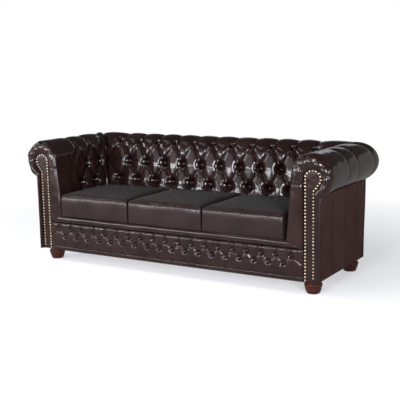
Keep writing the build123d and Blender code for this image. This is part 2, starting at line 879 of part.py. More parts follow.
# Seat cushions, each a sewn cover round a foam core
cushion_front = -overall_depth / 2
cushion_rear = back_axis - face_offset(deck_top, 0, back_lean) - cushion_gap
cushion_width = (2 * inside_half - 4 * cushion_gap) / 3
cushion_pitch = cushion_width + cushion_gap


def cushion_sections(middle, shrink):
    """Upright sections of a cushion from front to rear, shrunk inside its leather."""
    length = cushion_rear - cushion_front
    quarters = [length * quarter / 4 for quarter in (1, 2, 3)]
    sections = []
    for along in (0, cushion_edge, *quarters, length - cushion_edge, length):
        y = min(max(cushion_front + along, cushion_front + shrink), cushion_rear - shrink)
        nose = cushion_nose if along in (0, length) else 0
        swell = 1 - (2 * along / length - 1) ** 2
        crown = cushion_rim_crown + (1 - cushion_rim_crown) * swell
        half = cushion_width / 2 - cushion_draw * swell - nose - shrink
        low, high = cushion_bottom + nose + shrink, cushion_seam - nose - shrink
        seam = half - cushion_boxing
        with BuildSketch(Plane((middle, y, 0), x_dir=(1, 0, 0), z_dir=(0, -1, 0))) as section:
            with BuildLine():
                Line((-seam, low), (seam, low))
                ThreePointArc((seam, low), (half, (low + high) / 2), (seam, high))
                ThreePointArc((seam, high), (0, high + cushion_crown * crown), (-seam, high))
                ThreePointArc((-seam, high), (-half, (low + high) / 2), (-seam, low))
            make_face()
        sections.append(section.sketch.faces()[0])
    return sections


for name, middle in (("left", -cushion_pitch), ("centre", 0), ("right", cushion_pitch)):
    with BuildPart() as cushion_cover:
        loft(sections=cushion_sections(middle, 0), ruled=True)
        loft(sections=cushion_sections(middle, leather_thickness), ruled=True, mode=Mode.SUBTRACT)
    write(cushion_cover, f"cushion_cover_{name}")
    with BuildPart() as cushion_core:
        loft(sections=cushion_sections(middle, leather_thickness + core_gap), ruled=True)
    write(cushion_core, f"cushion_core_{name}")

# Turned feet, each on a bolt through its corner block
for name, x, y in (
    ("front_left", -foot_x, foot_front_y),
    ("front_right", foot_x, foot_front_y),
    ("rear_left", -foot_x, foot_rear_y),
    ("rear_right", foot_x, foot_rear_y),
):
    with BuildPart() as foot:
        with BuildSketch(Plane((x, y, 0), x_dir=(1, 0, 0), z_dir=(0, -1, 0))):
            with BuildLine():
                base, belly, neck = foot_base / 2, foot_belly / 2, foot_neck / 2
                collar = foot_collar / 2
                collar_foot = foot_height - collar_height
                groove_at = collar_foot - foot_ring / 2
                belly_at = groove_at - foot_ring
                hip = ((base + belly) / 2 + foot_ring / 2, belly_at / 2)
                Polyline((0, 0), (base, 0), hip, (belly, belly_at), (neck, groove_at), (collar, collar_foot))
                Polyline((collar, collar_foot), (collar, foot_height), (0, foot_height), (0, 0))
            make_face()
        revolve(axis=Axis((x, y, 0), (0, 0, 1)))
        with BuildSketch(Plane((x, y, foot_height))):
            RegularPolygon(radius=bolt_diameter / 2 + bolt_clearance, side_count=bolt_sides)
        extrude(amount=-bolt_reach - bolt_clearance, mode=Mode.SUBTRACT)
    write(foot, f"foot_{name}")

with BuildPart() as bolts:
    for x, y in foot_places:
        with BuildSketch(Plane.XY.offset(block_top)):
            with Locations((x, y)):
                RegularPolygon(radius=bolt_head / 2, side_count=6, major_radius=False)
        extrude(amount=bolt_head_height)
        with BuildSketch(Plane.XY.offset(block_top)):
            with Locations((x, y)):
                RegularPolygon(radius=bolt_diameter / 2, side_count=bolt_sides)
        extrude(amount=-(block_height + bolt_reach))
write(bolts, "foot_bolts")
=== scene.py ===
"""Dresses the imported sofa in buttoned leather, with its trim, cushions, feet, studio and camera."""

import json
import logging
import math
from dataclasses import dataclass, field
from enum import Enum
from typing import Callable, Sequence

import bmesh
import bpy
from mathutils import Matrix, Vector, noise

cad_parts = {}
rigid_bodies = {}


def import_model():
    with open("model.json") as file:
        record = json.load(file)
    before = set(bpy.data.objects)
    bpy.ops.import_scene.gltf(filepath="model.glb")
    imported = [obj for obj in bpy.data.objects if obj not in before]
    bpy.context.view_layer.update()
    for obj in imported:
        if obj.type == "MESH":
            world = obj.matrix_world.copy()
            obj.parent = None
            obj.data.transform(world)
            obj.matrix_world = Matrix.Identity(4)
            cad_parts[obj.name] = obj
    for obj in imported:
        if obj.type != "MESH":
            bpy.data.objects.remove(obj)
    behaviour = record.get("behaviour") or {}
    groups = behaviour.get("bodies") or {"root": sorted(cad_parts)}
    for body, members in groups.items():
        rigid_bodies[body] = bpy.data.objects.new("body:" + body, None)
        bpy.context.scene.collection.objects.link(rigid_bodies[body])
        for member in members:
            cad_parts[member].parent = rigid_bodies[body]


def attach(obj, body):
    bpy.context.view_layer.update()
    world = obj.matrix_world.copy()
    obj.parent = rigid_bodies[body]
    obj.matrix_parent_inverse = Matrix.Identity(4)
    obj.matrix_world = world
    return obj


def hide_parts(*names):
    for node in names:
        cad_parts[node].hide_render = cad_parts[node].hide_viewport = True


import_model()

LOG = logging.getLogger("sofa")

Colour = tuple[float, float, float]
Laid = Callable[[float, float, float], Vector]
Material = bpy.types.Material
Mesh = bmesh.types.BMesh
Piece = bpy.types.Object
Place = Callable[[float, float], Vector]
Socket = bpy.types.NodeSocket

LEATHER_THICKNESS = 0.0025
ARM_LEAN = math.radians(5.5)
BACK_LEAN = math.radians(8.0)
ARM_AXIS = 0.888
BACK_AXIS = 0.263


class Body(Enum):
    """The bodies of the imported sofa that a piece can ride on."""

    SOFA = "sofa"
    LEFT = "seat_cushion_left"
    CENTRE = "seat_cushion_centre"
    RIGHT = "seat_cushion_right"


class Side(Enum):
    """Left and right as seen from the front, with the sign of their x."""

    LEFT = -1
    RIGHT = 1

    @property
    def word(self) -> str:
        """The side's name as the CAD nodes spell it."""
        return self.name.lower()


def clamp(value: float, low: float = 0.0, high: float = 1.0) -> float:
    """Keeps a value between two limits."""
    return min(max(value, low), high)


def mix(first: float, second: float, share: float) -> float:
    """The value a share of the way from the first to the second."""
    return first + (second - first) * share


def smooth(share: float) -> float:
    """Eases a share from 0 to 1 with level ends."""
    share = clamp(share)
    return share * share * (3 - 2 * share)


def ripple(x: float, y: float, z: float) -> float:
    """Smooth noise of about -1 to 1 at a place."""
    return noise.noise(Vector((x, y, z)))


class NodeGraph:
    """A material's node tree with short ways to add and join its nodes."""

    def __init__(self, name: str) -> None:
        """Starts an empty tree.

        Args:
            name: Name of the new material.
        """
        self.material = bpy.data.materials.new(name)
        self.material.use_nodes = True
        self.tree = self.material.node_tree
        self.tree.nodes.clear()
        self.output = self.add("ShaderNodeOutputMaterial")
        self.place = self.add("ShaderNodeTexCoord").outputs["Object"]

    def add(self, kind: str, **inputs: object) -> bpy.types.Node:
        """Adds a node.

        Args:
            kind: Type of the node.
            inputs: Values or sockets by the input's name, with _ for a space.

        Returns:
            The new node.
        """
        node = self.tree.nodes.new(kind)
        for name, value in inputs.items():
            self.feed(node.inputs[name.replace("_", " ")], value)
        return node

    def feed(self, socket: Socket, value: object) -> None:
        """Sets a socket to a value, or joins another socket to it.

        Args:
            socket: The input.
            value: A value, or the socket to join.
        """
        if isinstance(value, Socket):
            self.tree.links.new(value, socket)
        else:
            socket.default_value = value

    def noise(self, scale: float, detail: float = 3.0, stretch: Sequence[float] = (1, 1, 1)) -> Socket:
        """Noise over the object's own space.

        Args:
            scale: Waves to the metre.
            detail: Octaves of finer noise.
            stretch: Scale along each axis.

        Returns:
            The socket with the noise as a number.
        """
        place = self.add("ShaderNodeMapping", Vector=self.place, Scale=tuple(stretch))
        return self.add("ShaderNodeTexNoise", Vector=place.outputs[0], Scale=scale, Detail=detail).outputs[0]

    def cells(self, scale: float) -> Socket:
        """Distances in a field of small cells, as the pebbles of leather."""
        node = self.add("ShaderNodeTexVoronoi", Vector=self.place, Scale=scale)
        return node.outputs["Distance"]

    def ramp(self, value: Socket, stops: Sequence[tuple[float, Sequence[float]]]) -> Socket:
        """Turns a number into a colour by a row of stops.

        Args:
            value: The number.
            stops: Places and colours, of which the first and the last are the ramp's ends.

        Returns:
            The socket with the colour.
        """
        node = self.add("ShaderNodeValToRGB", Fac=value)
        elements = node.color_ramp.elements
        elements[0].position, elements[-1].position = stops[0][0], stops[-1][0]
        elements[0].color, elements[-1].color = (*stops[0][1], 1.0), (*stops[-1][1], 1.0)
        for position, colour in stops[1:-1]:
            elements.new(position).color = (*colour, 1.0)
        return node.outputs["Color"]

    def span(self, value: Socket, low: float, high: float) -> Socket:
        """Maps a number of 0 to 1 to another span.

        Args:
            value: The number.
            low: What 0 turns into.
            high: What 1 turns into.

        Returns:
            The socket with the mapped number.
        """
        node = self.add("ShaderNodeMapRange", Value=value)
        node.inputs["To Min"].default_value = low
        node.inputs["To Max"].default_value = high
        return node.outputs[0]

    def sum(self, first: Socket, second: Socket) -> Socket:
        """Adds two numbers and keeps the sum at 1 or less.

        Args:
            first: A number.
            second: Another number.

        Returns:
            The socket with the sum.
        """
        node = self.add("ShaderNodeMath")
        node.operation = "ADD"
        node.use_clamp = True
        self.feed(node.inputs[0], first)
        self.feed(node.inputs[1], second)
        return node.outputs[0]

    def attribute(self, name: str) -> Socket:
        """A number that the piece's own points carry, 0 where they carry none.

        Args:
            name: Name of the attribute.

        Returns:
            The socket with the number.
        """
        node = self.add("ShaderNodeAttribute")
        node.attribute_name = name
        return node.outputs["Fac"]

    def blend(self, first: Socket, second: Sequence[float], share: Socket) -> Socket:
        """Blends a colour into another by a share of 0 to 1.

        Args:
            first: The colour below.
            second: The colour that is blended in.
            share: Its share.

        Returns:
            The socket with the blended colour.
        """
        node = self.add("ShaderNodeMix")
        node.data_type = "RGBA"
        self.feed(node.inputs[0], share)
        self.feed(node.inputs[6], first)
        self.feed(node.inputs[7], (*second, 1.0))
        return node.outputs[2]

    def bump(self, height: Socket, depth: float, under: Socket | None = None) -> Socket:
        """A bump over another normal.

        Args:
            height: The height field.
            depth: Its depth in metres.
            under: The normal below it, or nothing.

        Returns:
            The socket with the bumped normal.
        """
        node = self.add("ShaderNodeBump", Height=height, Distance=depth)
        if under is not None:
            self.feed(node.inputs["Normal"], under)
        return node.outputs[0]

    def finish(self, shader: bpy.types.Node) -> Material:
        """Joins the shader to the output."""
        self.tree.links.new(shader.outputs[0], self.output.inputs["Surface"])
        return self.material


@dataclass(frozen=True)
class LeatherFinish:
    """A dyed and waxed hide with pebbled grain, a broken gloss and painted shade in its folds."""

    name: str
    deep: Colour
    worn: Colour
    gloss: tuple[float, float] = (0.4, 0.5)
    wax: float = 0.33
    wax_gloss: float = 0.13
    grain: float = 0.00012
    break_depth: float = 0.00016
    sheen: float = 0.0
    # Colour of the shade painted into folds and pits, blended in by each point's fold attribute.
    fold: Colour = (0.0042, 0.0016, 0.0013)

    def material(self) -> Material:
        """Builds the finish as a material.

        Returns:
            The material.
        """
        graph = NodeGraph(self.name)
        patches = graph.noise(9.0, 4.0)
        colour = graph.ramp(patches, [(0.3, self.deep), (0.72, self.worn)])
        # Painted shade: the base colour darkens towards the fold colour where points lie deep in folds and
        # pits.
        colour = graph.blend(colour, self.fold, graph.attribute("fold"))
        rough = graph.span(graph.noise(38.0, 4.0), *self.gloss)
        creases = graph.bump(graph.noise(75.0, 3.0), self.break_depth)
        pebbles = graph.bump(graph.cells(620.0), self.grain, creases)
        shader = graph.add("ShaderNodeBsdfPrincipled", Base_Color=colour, Roughness=rough, Normal=pebbles)
        graph.feed(shader.inputs["Coat Normal"], creases)
        shader.inputs["Specular IOR Level"].default_value = 0.0
        shader.inputs["Coat Weight"].default_value = self.wax
        shader.inputs["Coat Roughness"].default_value = self.wax_gloss
        shader.inputs["Sheen Weight"].default_value = self.sheen
        return graph.finish(shader)


@dataclass(frozen=True)
class TimberFinish:
    """Wood with grain along one axis, raw or stained and polished."""

    name: str
    light: Colour
    dark: Colour
    rough: float = 0.6
    coat: float = 0.0
    stretch: tuple[float, float, float] = (1.0, 1.0, 0.12)
    gloss: float = 0.5

    def material(self) -> Material:
        """Builds the finish as a material.

        Returns:
            The material.
        """
        graph = NodeGraph(self.name)
        grain = graph.noise(90.0, 6.0, self.stretch)
        colour = graph.ramp(grain, [(0.32, self.dark), (0.68, self.light)])
        normal = graph.bump(grain, 0.0003)
        rough = graph.span(graph.noise(30.0), self.rough - 0.08, self.rough + 0.08)
        shader = graph.add("ShaderNodeBsdfPrincipled", Base_Color=colour, Roughness=rough, Normal=normal)
        shader.inputs["Specular IOR Level"].default_value = self.gloss
        shader.inputs["Coat Weight"].default_value = self.coat
        shader.inputs["Coat Roughness"].default_value = 0.12
        return graph.finish(shader)


@dataclass(frozen=True)
class MetalFinish:
    """Metal with tarnish in patches."""

    name: str
    bright: Colour
    dull: Colour
    rough: tuple[float, float] = (0.25, 0.5)

    def material(self) -> Material:
        """Builds the finish as a material.

        Returns:
            The material.
        """
        graph = NodeGraph(self.name)
        patches = graph.noise(120.0, 3.0)
        colour = graph.ramp(patches, [(0.35, self.dull), (0.62, self.bright)])
        rough = graph.span(graph.noise(300.0), *self.rough)
        shader = graph.add("ShaderNodeBsdfPrincipled", Base_Color=colour, Roughness=rough)
        shader.inputs["Metallic"].default_value = 1.0
        return graph.finish(shader)


@dataclass(frozen=True)
class FibreFinish:
    """Cloth, webbing or foam: matt, with a fine weave or cells."""

    name: str
    light: Colour
    dark: Colour
    scale: float = 400.0

    def material(self) -> Material:
        """Builds the finish as a material.

        Returns:
            The material.
        """
        graph = NodeGraph(self.name)
        fibres = graph.noise(self.scale, 2.0)
        colour = graph.ramp(fibres, [(0.35, self.dark), (0.65, self.light)])
        rough = graph.span(fibres, 0.8, 0.95)
        normal = graph.bump(fibres, 0.0005)
        shader = graph.add("ShaderNodeBsdfPrincipled", Base_Color=colour, Roughness=rough, Normal=normal)
        return graph.finish(shader)


@dataclass
class Finishes:
    """The materials of the whole sofa."""

    leather: Material = field(init=False)
    outer_leather: Material = field(init=False)
    seat_leather: Material = field(init=False)
    mahogany: Material = field(init=False)
    brass: Material = field(init=False)
    by_slot: dict[str, Material] = field(init=False)

    def __post_init__(self) -> None:
        """Builds each material once."""
        self.leather = LeatherFinish(
            "dark_leather", deep=(0.0068, 0.0029, 0.0024), worn=(0.0140, 0.0063, 0.0053)
        ).material()
        # A duller, less waxed copy of the leather whose paler colour is painted light: it stands in for the
        # light on the outer panels and for highlights on the front buttons.
        self.outer_leather = LeatherFinish(
            "outer_leather", deep=(0.019, 0.0080, 0.0066), worn=(0.029, 0.0128, 0.0106), wax=0.07
        ).material()
        self.seat_leather = LeatherFinish(
            "seat_leather", deep=(0.0080, 0.0036, 0.0031), worn=(0.0135, 0.0065, 0.0057), gloss=(0.5, 0.6),
            wax=0.28, wax_gloss=0.22, grain=0.0002, break_depth=0.0002, sheen=0.03
        ).material()
        self.mahogany = TimberFinish(
            "stained_mahogany", (0.031, 0.0058, 0.0028), (0.0115, 0.0024, 0.0014), 0.36, 0.07, gloss=0.08
        ).material()
        self.brass = MetalFinish("antique_brass", (0.41, 0.345, 0.245), (0.22, 0.175, 0.115)).material()
        self.by_slot = {
            "leather": self.leather,
            "cushion_leather": self.seat_leather,
            "foot_timber": self.mahogany,
            "antique_brass": self.brass,
        }
        inner = {
            "frame_timber": TimberFinish("raw_beech", (0.5, 0.36, 0.22), (0.33, 0.21, 0.12)),
            "hardboard": FibreFinish("brown_hardboard", (0.24, 0.15, 0.09), (0.16, 0.1, 0.06), 260.0),
            "webbing": FibreFinish("jute_webbing", (0.4, 0.31, 0.19), (0.24, 0.18, 0.1), 320.0),
            "foam": FibreFinish("pale_foam", (0.7, 0.62, 0.42), (0.55, 0.48, 0.32), 500.0),
            "deck_cloth": FibreFinish("brown_lining", (0.05, 0.03, 0.022), (0.022, 0.013, 0.01), 600.0),
            "dust_cloth": FibreFinish("black_cambric", (0.03, 0.03, 0.032), (0.012, 0.012, 0.013), 700.0),
            "bolt_steel": MetalFinish("zinc_steel", (0.6, 0.6, 0.62), (0.35, 0.35, 0.37)),
        }
        self.by_slot |= {slot: finish.material() for slot, finish in inner.items()}

    def dress(self) -> int:
        """Puts the materials into the slots of the CAD nodes.

        Returns:
            The number of nodes that were dressed.
        """
        count = 0
        for item in bpy.data.objects:
            if item.type != "MESH":
                continue
            for slot in item.material_slots:
                name = slot.material.name.split(".")[0] if slot.material else ""
                if name in self.by_slot:
                    slot.material = self.by_slot[name]
                    count += 1
        return count


def settle(name: str, mesh: Mesh, material: Material, body: Body) -> Piece:
    """Turns a finished bmesh into a smooth-shaded piece that rides on a body.

    Args:
        name: Name of the piece.
        mesh: The form, which is freed.
        material: Its finish.
        body: The body that carries it.

    Returns:
        The new object.
    """
    bmesh.ops.recalc_face_normals(mesh, faces=mesh.faces)
    data = bpy.data.meshes.new(name)
    mesh.to_mesh(data)
    mesh.free()
    data.polygons.foreach_set("use_smooth", [True] * len(data.polygons))
    data.materials.append(material)
    piece = bpy.data.objects.new(name, data)
    bpy.context.scene.collection.objects.link(piece)
    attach(piece, body.value)
    return piece


def upholster(piece: Piece, node: str) -> None:
    """Gives a leather skin its thickness on its inner side and puts it in place of its CAD node.

    Args:
        piece: The skin.
        node: Name of the CAD node.
    """
    shell = piece.modifiers.new("thickness", "SOLIDIFY")
    shell.thickness = LEATHER_THICKNESS
    shell.offset = -1.0
    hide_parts(node)


def skin(columns: int, rows: int, place: Place) -> Mesh:
    """A sheet whose points are placed by two shares of 0 to 1.

    Args:
        columns: Faces along the first share.
        rows: Faces along the second share.
        place: Gives the point for the two shares.

    Returns:
        The sheet.
    """
    mesh = bmesh.new()
    bmesh.ops.create_grid(mesh, x_segments=columns, y_segments=rows, size=0.5)
    for vertex in mesh.verts:
        vertex.co = place(clamp(vertex.co.x + 0.5), clamp(vertex.co.y + 0.5))
    return mesh


def mirrored(mesh: Mesh, side: Side) -> Mesh:
    """Turns a piece of the right side into its mirror image if the left one is wanted.

    Args:
        mesh: The right piece.
        side: The side that is wanted.

    Returns:
        The same mesh.
    """
    if side is Side.LEFT:
        bmesh.ops.scale(mesh, vec=(-1, 1, 1), verts=mesh.verts)
        bmesh.ops.reverse_faces(mesh, faces=mesh.faces)
    return mesh


@dataclass(frozen=True)
class RollProfile:
    """The way up a leaning face and round its roll, seen from the end of the roll, in metres."""

    lean: float
    hem: float = 0.300
    radius: float = 0.112
    axis_height: float = 0.628
    end: float = math.radians(256)

    @property
    def face_length(self) -> float:
        """Length of the flat face below the roll."""
        return (self.axis_height + self.radius * math.sin(self.lean) - self.hem) / math.cos(self.lean)

    @property
    def length(self) -> float:
        """Length of the whole way."""
        return self.face_length + self.radius * (self.end - self.lean)

    def along_face(self, height: float) -> float:
        """Length of the way up to a height on the face."""
        return (height - self.hem) / math.cos(self.lean)

    def along_roll(self, angle: float) -> float:
        """Length of the way up to an angle on the roll."""
        return self.face_length + self.radius * (angle - self.lean)

    def at(self, way: float) -> tuple[float, float, float]:
        """A place on the way.

        Args:
            way: Length from the hem.

        Returns:
            How far out of the roll's axis it is, its height, and the turn of the leather there.
        """
        left = self.face_length - way
        if left > 0:
            out = -self.radius * math.cos(self.lean) - left * math.sin(self.lean)
            height = self.axis_height + self.radius * math.sin(self.lean) - left * math.cos(self.lean)
            return out, height, self.lean
        angle = self.lean - left / self.radius
        return -self.radius * math.cos(angle), self.axis_height + self.radius * math.sin(angle), angle

    def facing_out(self, height: float, depth: float) -> float:
        """How far out of the axis the sitter's side lies at a height, at a depth below the leather.

        Args:
            height: Height above the floor.
            depth: Depth below the leather.

        Returns:
            The distance, less than 0 towards the sitter.
        """
        rise, radius = height - self.axis_height, self.radius - depth
        if rise > radius * math.sin(self.lean):
            return -math.sqrt(max(radius**2 - rise**2, 0.0))
        return -radius / math.cos(self.lean) + rise * math.tan(self.lean)

    def below(self, way: float, depth: float) -> tuple[float, float]:
        """A place below the leather, as out of the axis and height."""
        out, height, turn = self.at(way)
        return out + depth * math.cos(turn), height - depth * math.sin(turn)

    def mitre(self, out: float, height: float, depth: float) -> float:
        """Where this profile meets the other one's at the corner, at a depth below the leather of both."""
        return out if out >= 0 else self.facing_out(height, depth)


@dataclass(frozen=True)
class Knot:
    """A point of the buttoning that folds run to."""

    x: float
    pull: float = 1.0
    button: bool = True


@dataclass(frozen=True)
class Pit:
    """The hollow round a button.

    Its half width and half height, its depth, the height and reach of its gathers, how far they fan up or
    down, and the share of it that lies flat under the button.
    """

    wide: float
    tall: float
    deep: float
    gathers: float = 0.0016
    reach: float = 0.020
    fan: float = 0.0
    core: float = 0.15

    def hollow(self, run: float, rise: float) -> float:
        """Depth of the funnel round its button, flat under the button and rounded at its brim."""
        far = math.hypot(run / self.wide, rise / self.tall)
        return self.deep * (1 - clamp((far - self.core) / (1 - self.core))) ** 2.1

    def gather(self, run: float, rise: float, phase: float) -> float:
        """Height of the small gathers that run out from the button.

        Args:
            run: Distance from the button along its row.
            rise: Distance above its row.
            phase: Turns the gathers, so that no two buttons are alike.

        Returns:
            The height.
        """
        turn = math.atan2(rise, run)
        away = math.hypot(run, rise)
        wave = math.cos(9 * turn + phase) + 0.6 * math.cos(14 * turn - 2.1 * phase)
        share = 1 - abs(self.fan) + abs(self.fan) * (1 + math.copysign(math.sin(turn), self.fan * rise)) / 2
        rings = 0.15 * math.cos(math.tau * away / 0.013 + phase) * math.exp(-(((away - 0.048) / 0.016) ** 2))
        fade = math.exp(-away / self.reach) * smooth((away - 0.008) / 0.014)
        return self.gathers * (share * wave * fade + rings)


@dataclass
class ButtonField:
    """Deep buttoning on a flat pattern: rows of knots, folds between them, pleats above and below."""

    rows: list[float]
    knots: list[list[Knot]]
    pits: list[Pit]
    low: float
    high: float
    valley: float = 0.0130
    crease: float = 0.0050
    crease_width: float = 0.0045
    low_pleat: float = 0.011
    high_pleat: float = 0.0135
    high_fade: float = 0.30
    steps: int = 30

    def pattern(self, low_steps: int, high_steps: int) -> Mesh:
        """Cuts the flat pattern so that every fold runs along edges.

        Args:
            low_steps: Faces from the low edge to the first row.
            high_steps: Faces from the last row to the high edge.

        Returns:
            The pattern in its own plane, x along the rows and y up.
        """
        mesh = bmesh.new()
        lines = [
            [mesh.verts.new((knot.x, way, 0)) for knot in row] for way, row in zip(self.rows, self.knots)
        ]
        standing = set()
        for way, line in ((self.low, lines[0]), (self.high, lines[-1])):
            edge = [mesh.verts.new((knot.co.x, way, 0)) for knot in line]
            for place in range(len(line) - 1):
                mesh.faces.new([edge[place], edge[place + 1], line[place + 1], line[place]])
            standing |= {mesh.edges.get(pair) for pair in zip(edge, line)}
        for lower, upper in zip(lines, lines[1:]):
            wide, narrow = (lower, upper) if len(lower) > len(upper) else (upper, lower)
            for place, knot in enumerate(narrow):
                mesh.faces.new([wide[place], wide[place + 1], knot])
                if place + 1 < len(narrow):
                    mesh.faces.new([knot, wide[place + 1], narrow[place + 1]])
        lying = [edge for edge in mesh.edges if edge not in standing]
        bmesh.ops.subdivide_edges(mesh, edges=lying, cuts=self.steps - 1, use_grid_fill=True)
        ends = (self.low, self.rows[0], low_steps), (self.high, self.rows[-1], high_steps)
        for limit, row, steps in ends:
            bounds = sorted((limit, row))
            chosen = [edge for edge in mesh.edges if self._stands(edge, bounds)]
            bmesh.ops.subdivide_edges(mesh, edges=chosen, cuts=steps - 1, use_grid_fill=True)
        bmesh.ops.remove_doubles(mesh, verts=mesh.verts, dist=1e-6)
        return mesh

    @staticmethod
    def _stands(edge: bmesh.types.BMEdge, bounds: Sequence[float]) -> bool:
        """Whether an edge runs straight up between two bounds."""
        ways = sorted(vertex.co.y for vertex in edge.verts)
        return abs(ways[0] - bounds[0]) < 1e-6 and abs(ways[1] - bounds[1]) < 1e-6

    def _fold(self, near: float, pull: float, share: float, valley: float, full: float) -> float:
        """Depth beside a fold: a wide valley with a thin crease in it.

        Args:
            near: Distance to the fold.
            pull: How strong the fold is, 0 to 1.
            share: Share of the width from this fold to the next.
            valley: Depth of the valley.
            full: How full the tuft is here.

        Returns:
            The depth.
        """
        swell = full * math.sin(math.pi * clamp(share)) ** 0.75
        return pull * (valley * (1 - swell) + self.crease * math.exp(-near / self.crease_width))

    def _pleats(self, row: list[Knot], x: float, valley: float) -> float:
        """Depth of straight pleats above or below a row.

        Args:
            row: The row.
            x: Place along it.
            valley: Depth of the pleats.

        Returns:
            The depth.
        """
        for start, end in zip(row, row[1:]):
            if x <= end.x + 1e-9:
                width = end.x - start.x
                share = clamp((x - start.x) / width)
                pull = mix(start.pull, end.pull, smooth(share))
                return self._fold(min(share, 1 - share) * width, pull, share, valley, 1.0)
        return row[-1].pull * valley

    def _diamond(self, lower: list[Knot], upper: list[Knot], x: float, rise: float) -> float:
        """Depth of the folds between two staggered rows.

        Args:
            lower: The row below.
            upper: The row above.
            x: Place along them.
            rise: Share of the way up between them.

        Returns:
            The depth.
        """
        wide, narrow = (lower, upper) if len(lower) > len(upper) else (upper, lower)
        level = rise if wide is lower else 1 - rise
        lines = []
        for place, knot in enumerate(narrow):
            for corner in (wide[place], wide[place + 1]):
                lines.append((mix(corner.x, knot.x, level), mix(corner.pull, knot.pull, level)))
        lines.sort()
        whole = (wide[-1].x - wide[0].x) / (len(wide) - 1)
        for (left, left_pull), (right, right_pull) in zip(lines, lines[1:]):
            if x <= right + 1e-9:
                width = max(right - left, 1e-6)
                share = clamp((x - left) / width)
                pull = mix(left_pull, right_pull, smooth(share))
                near = min(share, 1 - share) * width * 0.87
                return self._fold(near, pull, share, self.valley, clamp(width / whole) ** 0.45)
        return lines[-1][1] * self.valley

    def folds(self, x: float, way: float) -> float:
        """Depth of the folds and pleats alone.

        Args:
            x: Place along the rows.
            way: Length up from the hem.

        Returns:
            The depth.
        """
        if way <= self.rows[0]:
            share = (self.rows[0] - way) / (self.rows[0] - self.low)
            return self._pleats(self.knots[0], x, mix(self.valley, self.low_pleat, smooth(4 * share)))
        if way >= self.rows[-1]:
            span = way - self.rows[-1]
            fade = 1 - smooth(span / self.high_fade)
            return self._pleats(self.knots[-1], x, mix(0.001, self.high_pleat, fade)) * mix(0.35, 1.0, fade)
        place = next(k for k in range(len(self.rows)) if way <= self.rows[k + 1])
        rise = (way - self.rows[place]) / (self.rows[place + 1] - self.rows[place])
        return self._diamond(self.knots[place], self.knots[place + 1], x, rise)

    def depth(self, x: float, way: float) -> float:
        """How deep the leather lies below its fullest line at a place of the pattern.

        Args:
            x: Place along the rows.
            way: Length up from the hem.

        Returns:
            The depth.
        """
        hollow = gather = 0.0
        for row_way, row, pit in zip(self.rows, self.knots, self.pits):
            rise = way - row_way
            if abs(rise) > 0.12:
                continue
            for knot in row:
                run = x - knot.x
                if knot.button and abs(run) < 0.12:
                    hollow = max(hollow, pit.hollow(run, rise))
                    gather += pit.gather(run, rise, 40 * knot.x + 17 * row_way)
        return (self.folds(x, way) ** 3 + hollow**3) ** (1 / 3) - gather


def dye_folds(mesh: Mesh, depths: Sequence[float], full: float) -> None:
    """Notes on each point how far it lies down in a fold, for the shade painted there.

    Args:
        mesh: The cover.
        depths: Depth of each of its points.
        full: The depth at which the painted shade is darkest.
    """
    # The layer holds how strongly shade is painted at each point, from 0 to 1.
    layer = mesh.verts.layers.float.new("fold")
    for vertex, depth in zip(mesh.verts, depths):
        vertex[layer] = smooth((depth / full - 0.25) / 0.75)


def crumple(along: float, way: float, seed: float) -> float:
    """Unevenness of stretched leather over its stuffing."""
    return 0.0014 * ripple(along * 13, way * 13, seed) + 0.0002 * ripple(along * 47, way * 47, seed)


def staggered(count: int, pitch: float, edge: float, pull: float = 1.0) -> tuple[list[Knot], list[Knot]]:
    """Two staggered rows of knots between the same ends.

    Args:
        count: Knots of the first row on each side of its middle one.
        pitch: Distance from knot to knot.
        edge: Where both rows end.
        pull: How strong the folds are at the ends.

    Returns:
        The row with a knot in the middle, and the one without.
    """
    ends = Knot(-edge, pull, False), Knot(edge, pull, False)
    whole = [ends[0], *[Knot(k * pitch) for k in range(-count, count + 1)], ends[1]]
    half = [ends[0], *[Knot((k + 0.5) * pitch) for k in range(-count, count)], ends[1]]
    return whole, half


